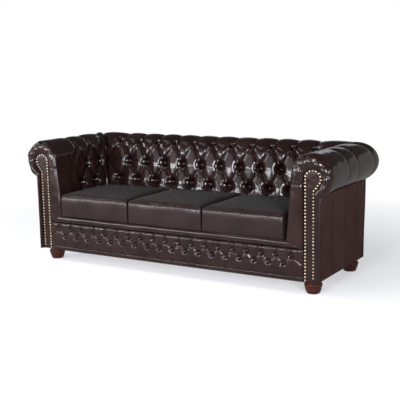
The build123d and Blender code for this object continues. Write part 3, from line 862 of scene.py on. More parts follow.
@dataclass(frozen=True)
class DeepButtoning:
    """What the buttoning of the back and of the arms has in common."""

    low_row: float = 0.461
    middle_row: float = 0.574
    roll_row: float = math.radians(47)
    pitch: float = 0.1345
    corner: float = 0.016
    corner_fade: float = 0.011
    corner_round: float = 5.0
    button: float = 0.0105
    dome: float = 0.0075
    low_steps: int = 18
    high_steps: int = 66
    # Depth at which the shade painted into pits and folds is darkest.
    dyed_depth: float = 0.024
    pits: tuple[Pit, ...] = (
        Pit(0.066, 0.064, 0.034, 0.0016, 0.030, -0.6),
        Pit(0.058, 0.070, 0.034, 0.0016, 0.024, 0.8),
        Pit(0.044, 0.042, 0.028, 0.0042, 0.016, 0.7, 0.30),
    )

    def field(self, profile: RollProfile, knots: list[list[Knot]]) -> ButtonField:
        """The flat pattern of three rows of knots on a profile.

        Args:
            profile: The profile.
            knots: The rows from the lowest up.

        Returns:
            The pattern.
        """
        ways = [profile.along_face(self.low_row), profile.along_face(self.middle_row)]
        ways.append(profile.along_roll(self.roll_row))
        return ButtonField(ways, knots, list(self.pits), 0.0, profile.length)

    def corner_depth(self, depth: float, away: float) -> float:
        """Depth of a place beside the corner, where the back and an arm are sewn together."""
        return mix(depth, self.corner, math.exp(-away / self.corner_fade))

    def cover(self, pattern: ButtonField, uneven: Callable[[float, float], float], place: Laid) -> Mesh:
        """Lays a pattern on its form.

        Args:
            pattern: The flat pattern.
            uneven: Gives the leather's own depth at a place of the pattern.
            place: Gives the point for a place of the pattern and its depth.

        Returns:
            The cover, with shade painted into its folds.
        """
        mesh = pattern.pattern(self.low_steps, self.high_steps)
        depths = []
        for vertex in mesh.verts:
            along, way = vertex.co.x, vertex.co.y
            depths.append(pattern.depth(along, way) + uneven(along, way))
            vertex.co = place(along, way, depths[-1])
        # Paints shade into the pits and folds, darker the deeper they lie.
        dye_folds(mesh, depths, self.dyed_depth)
        return mesh

    def domes(self, pattern: ButtonField, profile: RollProfile, facing: Vector, place: Laid) -> Mesh:
        """Sets the covered buttons into their pits.

        Args:
            pattern: The flat pattern.
            profile: The profile that it lies on.
            facing: The way that the sitter's side faces.
            place: Gives the point for a place of the pattern and its depth.

        Returns:
            The buttons.
        """
        mesh = bmesh.new()
        for way, row, pit in zip(pattern.rows, pattern.knots, pattern.pits):
            turn = profile.at(way)[2]
            normal = facing * math.cos(turn) + Vector((0, 0, math.sin(turn)))
            for knot in row:
                if knot.button:
                    add_button(mesh, place(knot.x, way, pit.deep), normal, self.button, self.dome)
        return mesh


@dataclass
class InsideBack:
    """The buttoned back with its roll."""

    finishes: Finishes
    buttoning: DeepButtoning = DeepButtoning()
    profile: RollProfile = RollProfile(BACK_LEAN)
    arm: RollProfile = RollProfile(ARM_LEAN)
    axis: float = BACK_AXIS
    arm_axis: float = ARM_AXIS
    columns: int = 5
    end_column: float = 5.66
    hem_crease: float = 0.0018

    def field(self) -> ButtonField:
        """The buttoning as a flat pattern.

        Returns:
            The pattern.
        """
        pitch = self.buttoning.pitch
        whole, half = staggered(self.columns, pitch, self.end_column * pitch)
        return self.buttoning.field(self.profile, [whole, half, whole])

    def place(self, x: float, way: float, depth: float) -> Vector:
        """A point of the back.

        Args:
            x: Place along the rows of the pattern.
            way: Length up from the hem.
            depth: Depth below the fullest line.

        Returns:
            The point in the sofa's space.
        """
        buttoning = self.buttoning
        last = self.columns * buttoning.pitch
        reach = (abs(x) - last) / (self.end_column * buttoning.pitch - last)
        if reach > 0:
            sewn = self.profile.below(way, buttoning.corner)
            end = self.arm_axis + self.arm.mitre(*sewn, buttoning.corner)
            x = math.copysign(mix(last, end, reach), x)
            depth = buttoning.corner_depth(depth, end - abs(x))
        out, height = self.profile.below(way, depth)
        point = Vector((x, self.axis + out, height))
        return round_corner(point, self.arm_axis, self.axis, buttoning.corner_round)

    def build(self) -> list[Piece]:
        """Builds the cover and its buttons.

        Returns:
            The new pieces.
        """
        pattern = self.field()
        hem = pattern.rows[0]

        def uneven(x: float, way: float) -> float:
            """Unevenness of the leather, with small creases below the low row."""
            creases = self.hem_crease * ripple(x * 52, way * 26, 5.0) * smooth((hem - way) / 0.02)
            return crumple(x, way, 2.0) + creases

        mesh = self.buttoning.cover(pattern, uneven, self.place)
        cover = settle("buttoned_back", mesh, self.finishes.leather, Body.SOFA)
        upholster(cover, "inside_back_cover")
        domes = self.buttoning.domes(pattern, self.profile, Vector((0, -1, 0)), self.place)
        buttons = settle("back_button_domes", domes, self.finishes.leather, Body.SOFA)
        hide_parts("back_buttons")
        return [cover, buttons]


def round_corner(point: Vector, arm_axis: float, back_axis: float, power: float) -> Vector:
    """Rounds the outer corner where the back's roll runs into an arm's roll.

    Args:
        point: A point of either roll.
        arm_axis: The x of the arm's axis.
        back_axis: The y of the back's axis.
        power: 2 for a ball, more for a squarer corner.

    Returns:
        The point, drawn in towards the corner's middle.
    """
    run, rise = abs(point.x) - arm_axis, point.y - back_axis
    if run <= 0 or rise <= 0:
        return point
    shrink = max(run, rise) / (run**power + rise**power) ** (1 / power)
    return Vector((math.copysign(arm_axis + run * shrink, point.x), back_axis + rise * shrink, point.z))


def add_button(mesh: Mesh, seat: Vector, normal: Vector, radius: float, height: float) -> None:
    """Adds a covered button as a low dome.

    Args:
        mesh: Where it is added.
        seat: The middle of its underside.
        normal: The way that it faces.
        radius: Its radius.
        height: Its height.
    """
    turn = normal.to_track_quat("Z", "Y").to_matrix().to_4x4()
    matrix = Matrix.Translation(seat) @ turn @ Matrix.Diagonal((radius, radius, height, 1))
    bmesh.ops.create_uvsphere(mesh, u_segments=12, v_segments=8, radius=1.0, matrix=matrix)


def lobe(value: float, middle: float, half: float) -> float:
    """A smooth hump of height 1 about a middle."""
    return 0.5 + 0.5 * math.cos(math.pi * clamp((value - middle) / half, -1.0, 1.0))


def scroll_swell(angle: float) -> float:
    """How far an arm's scroll stands out of its round at an angle from the sitter's side over the top."""
    degrees = math.degrees(angle)
    return 0.011 * lobe(degrees, 233, 34) + 0.004 * lobe(degrees, 170, 28) - 0.005 * lobe(degrees, 128, 30)


@dataclass
class InsideArm:
    """One buttoned arm with its roll, plain at its front."""

    finishes: Finishes
    side: Side
    buttoning: DeepButtoning = DeepButtoning()
    profile: RollProfile = RollProfile(ARM_LEAN)
    back: RollProfile = RollProfile(BACK_LEAN)
    axis: float = ARM_AXIS
    back_axis: float = BACK_AXIS
    front: float = -0.3455
    first: float = -0.122
    seam_end: float = -0.195
    seam_depth: float = 0.0035
    squeeze_from: float = 0.08
    edge: float = 0.187

    def field(self) -> ButtonField:
        """The buttoning as a flat pattern.

        Returns:
            The pattern.
        """
        pitch = self.buttoning.pitch
        columns = [self.first + k * pitch for k in range(3)]
        plain = (self.front + self.first) / 2 - 0.01
        start, end = Knot(self.front, 0.0, False), Knot(self.edge, 1.0, False)
        whole = [start, Knot(plain, 0.0, False), *[Knot(y) for y in columns], end]
        half = [start, Knot(self.seam_end, 0.5, False), *[Knot(y + pitch / 2) for y in columns[:2]], end]
        low = [*whole[:-2], Knot(columns[2], 1.0, False), end]
        return self.buttoning.field(self.profile, [low, half, whole])

    def place(self, y: float, way: float, depth: float) -> Vector:
        """A point of the right arm.

        Args:
            y: Place along the rows of the pattern.
            way: Length up from the hem.
            depth: Depth below the fullest line.

        Returns:
            The point in the sofa's space.
        """
        buttoning = self.buttoning
        if y > self.squeeze_from:
            sewn = self.profile.below(way, buttoning.corner)
            end = self.back_axis + self.back.mitre(*sewn, buttoning.corner)
            reach = (y - self.squeeze_from) / (self.edge - self.squeeze_from)
            y = mix(self.squeeze_from, end, reach)
            depth = buttoning.corner_depth(depth, end - y)
        depth += 0.0035 * math.exp(-(y - self.front) / 0.004)
        depth -= scroll_swell(self.profile.at(way)[2]) * math.exp(-(y - self.front) / 0.08)
        out, height = self.profile.below(way, depth)
        point = Vector((self.axis + out, y, height))
        return round_corner(point, self.axis, self.back_axis, buttoning.corner_round)

    def uneven(self, y: float, way: float) -> float:
        """Depth of the level seam from the border to the first fold, and of the leather's unevenness.

        Args:
            y: Place along the rows.
            way: Length up from the hem.

        Returns:
            The depth.
        """
        middle = self.profile.along_face(self.buttoning.middle_row)
        seam = self.seam_depth * math.exp(-(((way - middle) / 0.005) ** 2)) if y <= self.seam_end else 0.0
        return seam + crumple(y, way, 7.0 + self.side.value)

    def build(self) -> list[Piece]:
        """Builds the cover and its buttons.

        Returns:
            The new pieces.
        """
        pattern = self.field()
        word, leather = self.side.word, self.finishes.leather
        mesh = self.buttoning.cover(pattern, self.uneven, self.place)
        cover = settle(f"buttoned_arm_{word}", mirrored(mesh, self.side), leather, Body.SOFA)
        upholster(cover, f"inside_arm_cover_{word}")
        domes = self.buttoning.domes(pattern, self.profile, Vector((-1, 0, 0)), self.place)
        buttons = settle(f"arm_button_domes_{word}", mirrored(domes, self.side), leather, Body.SOFA)
        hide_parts(f"arm_buttons_{word}")
        return [cover, buttons]


@dataclass
class FrontPanel:
    """The buttoned panel under the cushions, with the lip above it and the band below it."""

    finishes: Finishes
    half: float = 0.8446
    crest: float = -0.3623
    rear: float = -0.3443
    low: float = 0.0963
    high: float = 0.2447
    lower_row: float = 0.161
    upper_row: float = 0.205
    pitch: float = 0.0861
    columns: int = 9
    end_pull: float = 0.6
    pit: Pit = Pit(0.030, 0.028, 0.0135, 0.0014, 0.017, -0.5, 0.27)
    rim: float = 0.0045
    stitch: float = 0.0088
    # Depth at which the shade painted into the panel's pits and folds is darkest.
    dyed_depth: float = 0.012
    button: float = 0.008
    dome: float = 0.0052
    lip_top: float = 0.290
    lip_half: float = 0.7426
    lip_front: float = -0.3653
    lip_rear: float = -0.286
    band_low: float = 0.072
    band_front: float = -0.3523

    def field(self) -> ButtonField:
        """The buttoning as a flat pattern.

        Returns:
            The pattern.
        """
        whole, gaps = staggered(self.columns, self.pitch, self.half, self.end_pull)
        return ButtonField(
            [self.lower_row, self.upper_row], [gaps, whole], [self.pit, self.pit], self.low, self.high,
            valley=0.005, crease=0.0025, crease_width=0.003, low_pleat=0.004, high_pleat=0.005,
            high_fade=0.2, steps=26,
        )

    def build(self) -> list[Piece]:
        """Builds the panel, its buttons, the lip and the band.

        Returns:
            The new pieces.
        """
        pattern = self.field()
        mesh = pattern.pattern(14, 16)
        depths = []
        for vertex in mesh.verts:
            x, way = vertex.co.x, vertex.co.y
            depth = pattern.depth(x, way) + 0.0009 * ripple(x * 42, way * 42, 4.0)
            depth += 0.0002 * ripple(x * 105, way * 105, 11.0)
            edge = min(way - self.low, self.high - way)
            depth += 0.005 * (1 - smooth(edge / 0.014))
            rim = lobe(way, self.high - self.rim, self.rim)
            depth = mix(depth, 0.0008 * math.cos(math.tau * x / self.stitch), rim)
            depths.append(depth)
            depth += 0.013 * math.exp(-(self.half - abs(x)) / 0.006)
            vertex.co = Vector((x, self.crest + max(depth, -0.002), way))
        # Paints shade into the panel's pits and folds, darker the deeper they lie.
        dye_folds(mesh, depths, self.dyed_depth)
        panel = settle("buttoned_front", mesh, self.finishes.leather, Body.SOFA)
        upholster(panel, "front_panel_cover")
        return [panel, self.buttons(pattern), self.lip(), self.band()]

    def buttons(self, pattern: ButtonField) -> Piece:
        """Builds the small buttons of the panel.

        Args:
            pattern: The panel's pattern.

        Returns:
            The new piece.
        """
        mesh = bmesh.new()
        for way, row in zip(pattern.rows, pattern.knots):
            for knot in row[1:-1]:
                seat = Vector((knot.x, self.crest + self.pit.deep, way))
                add_button(mesh, seat, Vector((0, -1, 0)), self.button, self.dome)
        # The paler leather paints highlights onto the small buttons.
        piece = settle("front_button_domes", mesh, self.finishes.outer_leather, Body.SOFA)
        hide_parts("front_buttons")
        return piece

    def lip(self) -> Piece:
        """Builds the padded lip, mitred to the borders of the arms.

        Returns:
            The new piece.
        """
        front = self.lip_front
        path = SmoothPath([
            (self.lip_rear, self.lip_top), (-0.347, self.lip_top), (-0.3592, 0.2872), (front - 0.001, 0.2795),
            (front - 0.0035, 0.268), (front + 0.001, 0.2535), (self.rear, 0.2430),
        ])

        def place(along: float, across: float) -> Vector:
            """A point of the lip, from the deck over its front to the panel.

            Args:
                along: Share of the way from left to right.
                across: Share of the way across.

            Returns:
                The point in the sofa's space.
            """
            y, z = path.at(across)
            half = mix(self.half, self.lip_half, clamp((z - 0.245) / 0.045))
            x = mix(-half, half, along)
            return Vector((x, y + 0.0015 * ripple(x * 9, z * 30, 1.0), z))

        piece = settle("padded_lip", skin(220, 26, place), self.finishes.leather, Body.SOFA)
        upholster(piece, "front_lip_roll")
        return piece

    def band(self) -> Piece:
        """Builds the narrow band along the bottom.

        Returns:
            The new piece.
        """
        path = SmoothPath([
            (self.rear, 0.0962), (self.band_front + 0.001, 0.0945), (self.band_front, 0.085),
            (self.band_front + 0.001, 0.0745), (self.rear, self.band_low),
        ])

        def place(along: float, across: float) -> Vector:
            """A point of the band, from the panel down to the frame's lower edge.

            Args:
                along: Share of the way from left to right.
                across: Share of the way across.

            Returns:
                The point in the sofa's space.
            """
            y, z = path.at(across)
            x = mix(-self.half, self.half, along)
            return Vector((x, y + 0.0012 * ripple(x * 12, z * 20, 3.0), z))

        piece = settle("bottom_band", skin(200, 14, place), self.finishes.leather, Body.SOFA)
        upholster(piece, "front_bottom_band")
        return piece


class SmoothPath:
    """A smooth curve through a few points of a plane."""

    def __init__(self, points: Sequence[tuple[float, float]]) -> None:
        """Measures the way through the points.

        Args:
            points: The points in order.
        """
        self.points = [Vector(point) for point in points]
        self.lengths = [0.0]
        for first, second in zip(self.points, self.points[1:]):
            self.lengths.append(self.lengths[-1] + (second - first).length)

    def at(self, share: float) -> tuple[float, float]:
        """The point a share of the way along.

        Args:
            share: The share of its length.

        Returns:
            The point.
        """
        want = clamp(share) * self.lengths[-1]
        last = len(self.points) - 1
        place = next((k for k in range(last) if want <= self.lengths[k + 1] + 1e-12), last - 1)
        part = (want - self.lengths[place]) / max(self.lengths[place + 1] - self.lengths[place], 1e-12)
        before = self.points[max(place - 1, 0)]
        first, second = self.points[place], self.points[place + 1]
        after = self.points[min(place + 2, last)]
        one = (second - before) * 0.5
        two = (after - first) * 0.5
        square, cube = part * part, part * part * part
        spot = first * (2 * cube - 3 * square + 1) + one * (cube - 2 * square + part)
        spot += second * (3 * square - 2 * cube) + two * (cube - square)
        return spot.x, spot.y


@dataclass
class ArmFront:
    """The padded border of an arm's front, with its nailed facing."""

    finishes: Finishes
    side: Side
    axis: float = ARM_AXIS
    axis_height: float = 0.628
    radius: float = 0.112
    lean: float = ARM_LEAN
    inner: float = 0.845
    outer: float = 0.907
    head: float = 0.050
    head_height: float = 0.612
    swing: float = math.radians(35)
    neck: float = 0.550
    foot: float = 0.074
    side_face: float = 0.930
    roll_end: float = math.radians(-68)
    facing_front: float = -0.350
    border_front: float = -0.3623
    crown: float = 0.0100
    pleat_depth: float = 0.0085
    sleeve_end: float = -0.2863
    nail_pitch: float = 0.0175
    nail_inset: float = 0.008
    nail: float = 0.006
    nail_dome: float = 0.0042
    tuck: float = 0.002
    head_from: float = 0.36
    head_to: float = 0.72
    bend: float = 0.14
    side_top: float = 0.505
    lip_corner: tuple[float, float] = (0.743, 0.290)
    lip_low: float = 0.245
    pleats: int = 7

    def spoke(self, along: float) -> tuple[Vector, Vector, float]:
        """A line across the border.

        Args:
            along: Share of the way round the border.

        Returns:
            The point on the facing's edge, the one on the roll's edge, and the share round the head.
        """
        middle = Vector((self.inner + self.head, self.head_height))
        axis = Vector((self.axis, self.axis_height))
        if along <= self.head_from:
            share = along / self.head_from
            top = axis + self.radius * Vector((-math.cos(self.lean), math.sin(self.lean)))
            near = Vector((self.inner, self.lip_low)).lerp(Vector((self.inner, self.head_height)), share)
            return near, Vector(self.lip_corner).lerp(top, share), 0.0
        if along <= self.head_to:
            share = (along - self.head_from) / (self.head_to - self.head_from)
            near_turn = mix(math.pi, -self.swing, share)
            far_turn = mix(math.pi - self.lean, self.roll_end, share)
            near = middle + self.head * Vector((math.cos(near_turn), math.sin(near_turn)))
            radius = self.radius + scroll_swell(math.pi - far_turn)
            return near, axis + radius * Vector((math.cos(far_turn), math.sin(far_turn))), share
        share = (along - self.head_to) / (1 - self.head_to)
        shoulder = middle + self.head * Vector((math.cos(self.swing), -math.sin(self.swing)))
        radius = self.radius + scroll_swell(math.pi - self.roll_end)
        tail = axis + radius * Vector((math.cos(self.roll_end), math.sin(self.roll_end)))
        if share < self.bend:
            part = share / self.bend
            near = shoulder.lerp(Vector((self.outer, self.neck)), part)
            return near, tail.lerp(Vector((self.side_face, self.side_top)), part), 1.0
        part = (share - self.bend) / (1 - self.bend)
        near = Vector((self.outer, mix(self.neck, self.foot, part)))
        return near, Vector((self.side_face, mix(self.side_top, self.foot, part))), 1.0

    def pleat(self, share: float, across: float) -> float:
        """Depth of the pleats that run out from the head of the facing.

        Args:
            share: Share of the way round the head.
            across: Share of the way outward.

        Returns:
            The depth.
        """
        if not 0 < share < 1:
            return 0.0
        part = share * self.pleats % 1.0
        ends = smooth(share / 0.08) * smooth((1 - share) / 0.08)
        return self.pleat_depth * ends * (1 - math.sin(math.pi * part) ** 0.38) * (1 - 0.5 * across)

    def border_point(self, along: float, across: float) -> Vector:
        """A point of the right arm's border, from the facing over the edge and back along the sleeve.

        Args:
            along: Share of the way round the border.
            across: Share of the way from the facing to the sleeve's end.

        Returns:
            The point in the sofa's space.
        """
        near, far, share = self.spoke(along)
        width = (far - near).length
        edge = min(0.018, width * 0.45)
        start = self.facing_front - 0.0005
        rise = start - self.border_front
        if across < 0.6:
            part = across / 0.6
            run = part * (width - edge)
            near_edge = min(0.030, width * 0.45)
            lift = math.sqrt(1 - (1 - clamp(run / near_edge)) ** 2)
            crown = self.crown * math.sin(math.pi * clamp(run / width))
            y = start - rise * lift - crown
        elif across < 0.8:
            part = (across - 0.6) / 0.2 * math.pi / 2
            run = width - edge + edge * math.sin(part)
            crown = self.crown * math.sin(math.pi * clamp(run / width))
            y = self.border_front - crown + edge * (1 - math.cos(part))
        else:
            part = (across - 0.8) / 0.2
            run = width - mix(0.004, 0.009, smooth((along - 0.74) / 0.05)) * smooth(4 * part)
            y = mix(self.border_front + edge, self.sleeve_end, part)
        spot = near.lerp(far, run / width)
        depth = self.pleat(share, clamp(across / 0.8))
        if along < self.head_from:
            depth += 0.003 * math.exp(-(((spot.y - 0.58) / 0.004) ** 2)) * smooth(across / 0.1)
        depth += 0.001 * ripple(spot.x * 22, y * 22, spot.y * 22)
        inward = (near - far).normalized()
        over = smooth((across - 0.55) / 0.3)
        spot += inward * depth * over
        return Vector((spot.x, y + depth * (1 - over), spot.y))

    def border(self) -> Piece:
        """Builds the padded border.

        Returns:
            The new piece.
        """
        mesh = skin(300, 34, self.border_point)
        word = self.side.word
        piece = settle(f"padded_border_{word}", mirrored(mesh, self.side), self.finishes.leather, Body.SOFA)
        upholster(piece, f"arm_border_{word}")
        return piece

    def facing_span(self, height: float) -> tuple[float, float]:
        """The facing's left and right edge at a height.

        Args:
            height: Height above the floor.

        Returns:
            The x of both edges.
        """
        middle = self.inner + self.head
        rise = height - self.head_height
        half = math.sqrt(max(self.head**2 - rise**2, 0.0))
        left = self.inner if rise < 0 else middle - half
        shoulder = Vector((math.cos(self.swing), -math.sin(self.swing))) * self.head
        shoulder += Vector((middle, self.head_height))
        if height <= self.neck:
            return left, self.outer
        if height < shoulder.y:
            return left, mix(self.outer, shoulder.x, (height - self.neck) / (shoulder.y - self.neck))
        return left, middle + half

    def facing_point(self, across: float, up: float) -> Vector:
        """A point of the right arm's facing.

        Args:
            across: Share of the width.
            up: Share of the way up.

        Returns:
            The point in the sofa's space.
        """
        top = self.head_height + self.head
        height = mix(self.foot, top - 0.0001, math.sin(up * math.pi / 2) ** 0.85)
        left, right = self.facing_span(height)
        left, right = left - self.tuck, right + self.tuck
        x = mix(left, right, across)
        edge = min(x - left, right - x, top - height)
        y = self.facing_front + 0.0012 * (1 - smooth(edge / 0.004)) - 0.001 * smooth(edge / 0.03)
        return Vector((x, y + 0.0006 * ripple(x * 40, height * 40, 6.0), height))

    def facing(self) -> Piece:
        """Builds the flat facing.

        Returns:
            The new piece.
        """
        mesh = skin(24, 110, self.facing_point)
        bmesh.ops.remove_doubles(mesh, verts=mesh.verts, dist=1e-6)
        word = self.side.word
        piece = settle(f"nailed_facing_{word}", mirrored(mesh, self.side), self.finishes.leather, Body.SOFA)
        upholster(piece, f"arm_facing_{word}")
        return piece

    def nail_spots(self) -> list[Vector]:
        """The places of the nails along the facing's edge.

        Returns:
            The places as x and height.
        """
        inset = self.nail_inset
        middle = Vector((self.inner + self.head, self.head_height))
        radius = self.head - inset
        left, right = self.inner + inset, self.outer - inset
        way = [Vector((left, self.foot + inset)), Vector((left, self.head_height))]
        for step in range(1, 41):
            turn = mix(math.pi, -self.swing, step / 40)
            way.append(middle + radius * Vector((math.cos(turn), math.sin(turn))))
        way += [Vector((right, self.neck)), Vector((right, self.foot + inset))]
        spots, carry = [], 0.0
        for first, second in zip(way, way[1:]):
            length = (second - first).length
            while carry <= length:
                spots.append(first.lerp(second, carry / length))
                carry += self.nail_pitch
            carry -= length
        return spots

    def nails(self) -> Piece:
        """Builds the row of domed nails.

        Returns:
            The new piece.
        """
        mesh = bmesh.new()
        for spot in self.nail_spots():
            seat = Vector((spot.x, self.facing_front + 0.0002, spot.y))
            add_nail(mesh, seat, self.nail, self.nail_dome)
        word = self.side.word
        piece = settle(f"nail_heads_{word}", mirrored(mesh, self.side), self.finishes.brass, Body.SOFA)
        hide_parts(f"facing_nails_{word}")
        return piece

    def build(self) -> list[Piece]:
        """Builds the border, the facing and the nails."""
        return [self.border(), self.facing(), self.nails()]


def add_nail(mesh: Mesh, seat: Vector, radius: float, height: float) -> None:
    """Adds a domed nail head that faces the front.

    Args:
        mesh: Where it is added.
        seat: The middle of its underside.
        radius: Its radius.
        height: Its height.
    """
    tilt = Matrix.Rotation(math.pi / 2, 4, "X")
    matrix = Matrix.Translation(seat) @ tilt @ Matrix.Diagonal((radius, radius, height, 1))
    bmesh.ops.create_uvsphere(mesh, u_segments=8, v_segments=6, radius=1.0, matrix=matrix)


@dataclass
class OutsidePanels:
    """The plain leather on the outer sides of the arms and the back."""

    finishes: Finishes
    side_face: float = 0.930
    front: float = -0.344
    rear_foot: float = 0.290
    rear_top: float = 0.305
    foot: float = 0.074
    top: float = 0.524
    seam_depth: float = 0.0014
    seam_width: float = 0.0034
    # Depth at which the shade painted into the seam grooves is darkest.
    seam_dye: float = 0.0016
    seams: tuple[float, ...] = (-0.165, 0.02, 0.19)

    def rear(self, height: float) -> float:
        """The y of the outside back at a height, a little fuller above its middle."""
        flat = mix(self.rear_foot, self.rear_top, (height - self.foot) / (self.top - self.foot))
        return flat + 0.009 * lobe(height, 0.44, 0.26)

    def seam(self, along: float) -> float:
        """Depth of the sewn joins of an arm's outer side."""
        away = [(along - spot) / self.seam_width for spot in self.seams]
        return sum(self.seam_depth * math.exp(-(share**2)) for share in away)

    def gathers(self, along: float, below: float) -> float:
        """Height of the small gathers that fade down from the top edge."""
        wave = 0.5 + 0.5 * math.sin(along * 75 + 5.0 * ripple(along * 7, 0.0, 5.0))
        return 0.0022 * wave * math.exp(-below / 0.035) + 0.0012 * ripple(along * 6, below * 3, 9.0)

    def arm(self, side: Side) -> Piece:
        """Builds one side.

        Args:
            side: Which side.

        Returns:
            The new piece.
        """

        def place(along: float, up: float) -> Vector:
            """A point of the right side.

            Args:
                along: Share of the way to the far edge.
                up: Share of the way up.

            Returns:
                The point in the sofa's space.
            """
            z = mix(self.foot, self.top, up)
            y = mix(self.front, self.rear(z) - 0.003, along)
            edge = min(y - self.front, self.rear(z) - y)
            swell = self.gathers(y, self.top - z) + 0.002 * smooth(edge / 0.05) - 0.004 - self.seam(y)
            return Vector((self.side_face + swell * smooth(edge / 0.012) - 0.001, y, z))

        word = side.word
        mesh = skin(240, 70, place)
        # Paints shade into the seam grooves, darker the deeper they lie.
        dye_folds(mesh, [self.seam(vertex.co.y) for vertex in mesh.verts], self.seam_dye)
        # The outer side takes the paler leather, whose colour paints in the light falling on it.
        piece = settle(f"outside_arm_{word}", mirrored(mesh, side), self.finishes.outer_leather, Body.SOFA)
        upholster(piece, f"outside_arm_panel_{word}")
        return piece

    def back(self) -> Piece:
        """Builds the outside back.

        Returns:
            The new piece.
        """

        def place(along: float, up: float) -> Vector:
            """A point of the outside back.

            Args:
                along: Share of the way to the far edge.
                up: Share of the way up.

            Returns:
                The point in the sofa's space.
            """
            z = mix(self.foot, self.top, up)
            x = mix(-self.side_face, self.side_face, along)
            edge = self.side_face - abs(x)
            swell = self.gathers(x, self.top - z) + 0.002 * smooth(edge / 0.06) - 0.004
            return Vector((x, self.rear(z) + swell * smooth(edge / 0.012) - 0.001, z))

        # The outside back takes the paler leather, whose colour paints in the light falling on it.
        piece = settle("outside_back", skin(300, 70, place), self.finishes.outer_leather, Body.SOFA)
        upholster(piece, "outside_back_panel")
        return piece

    def build(self) -> list[Piece]:
        """Builds the three panels."""
        return [self.arm(Side.LEFT), self.arm(Side.RIGHT), self.back()]


def soft_limit(value: float, limit: float, room: float) -> float:
    """Holds a value under a limit, eased over the last room before it."""
    over = value - (limit - room)
    return value if over <= 0 else limit - room * math.exp(-over / room)


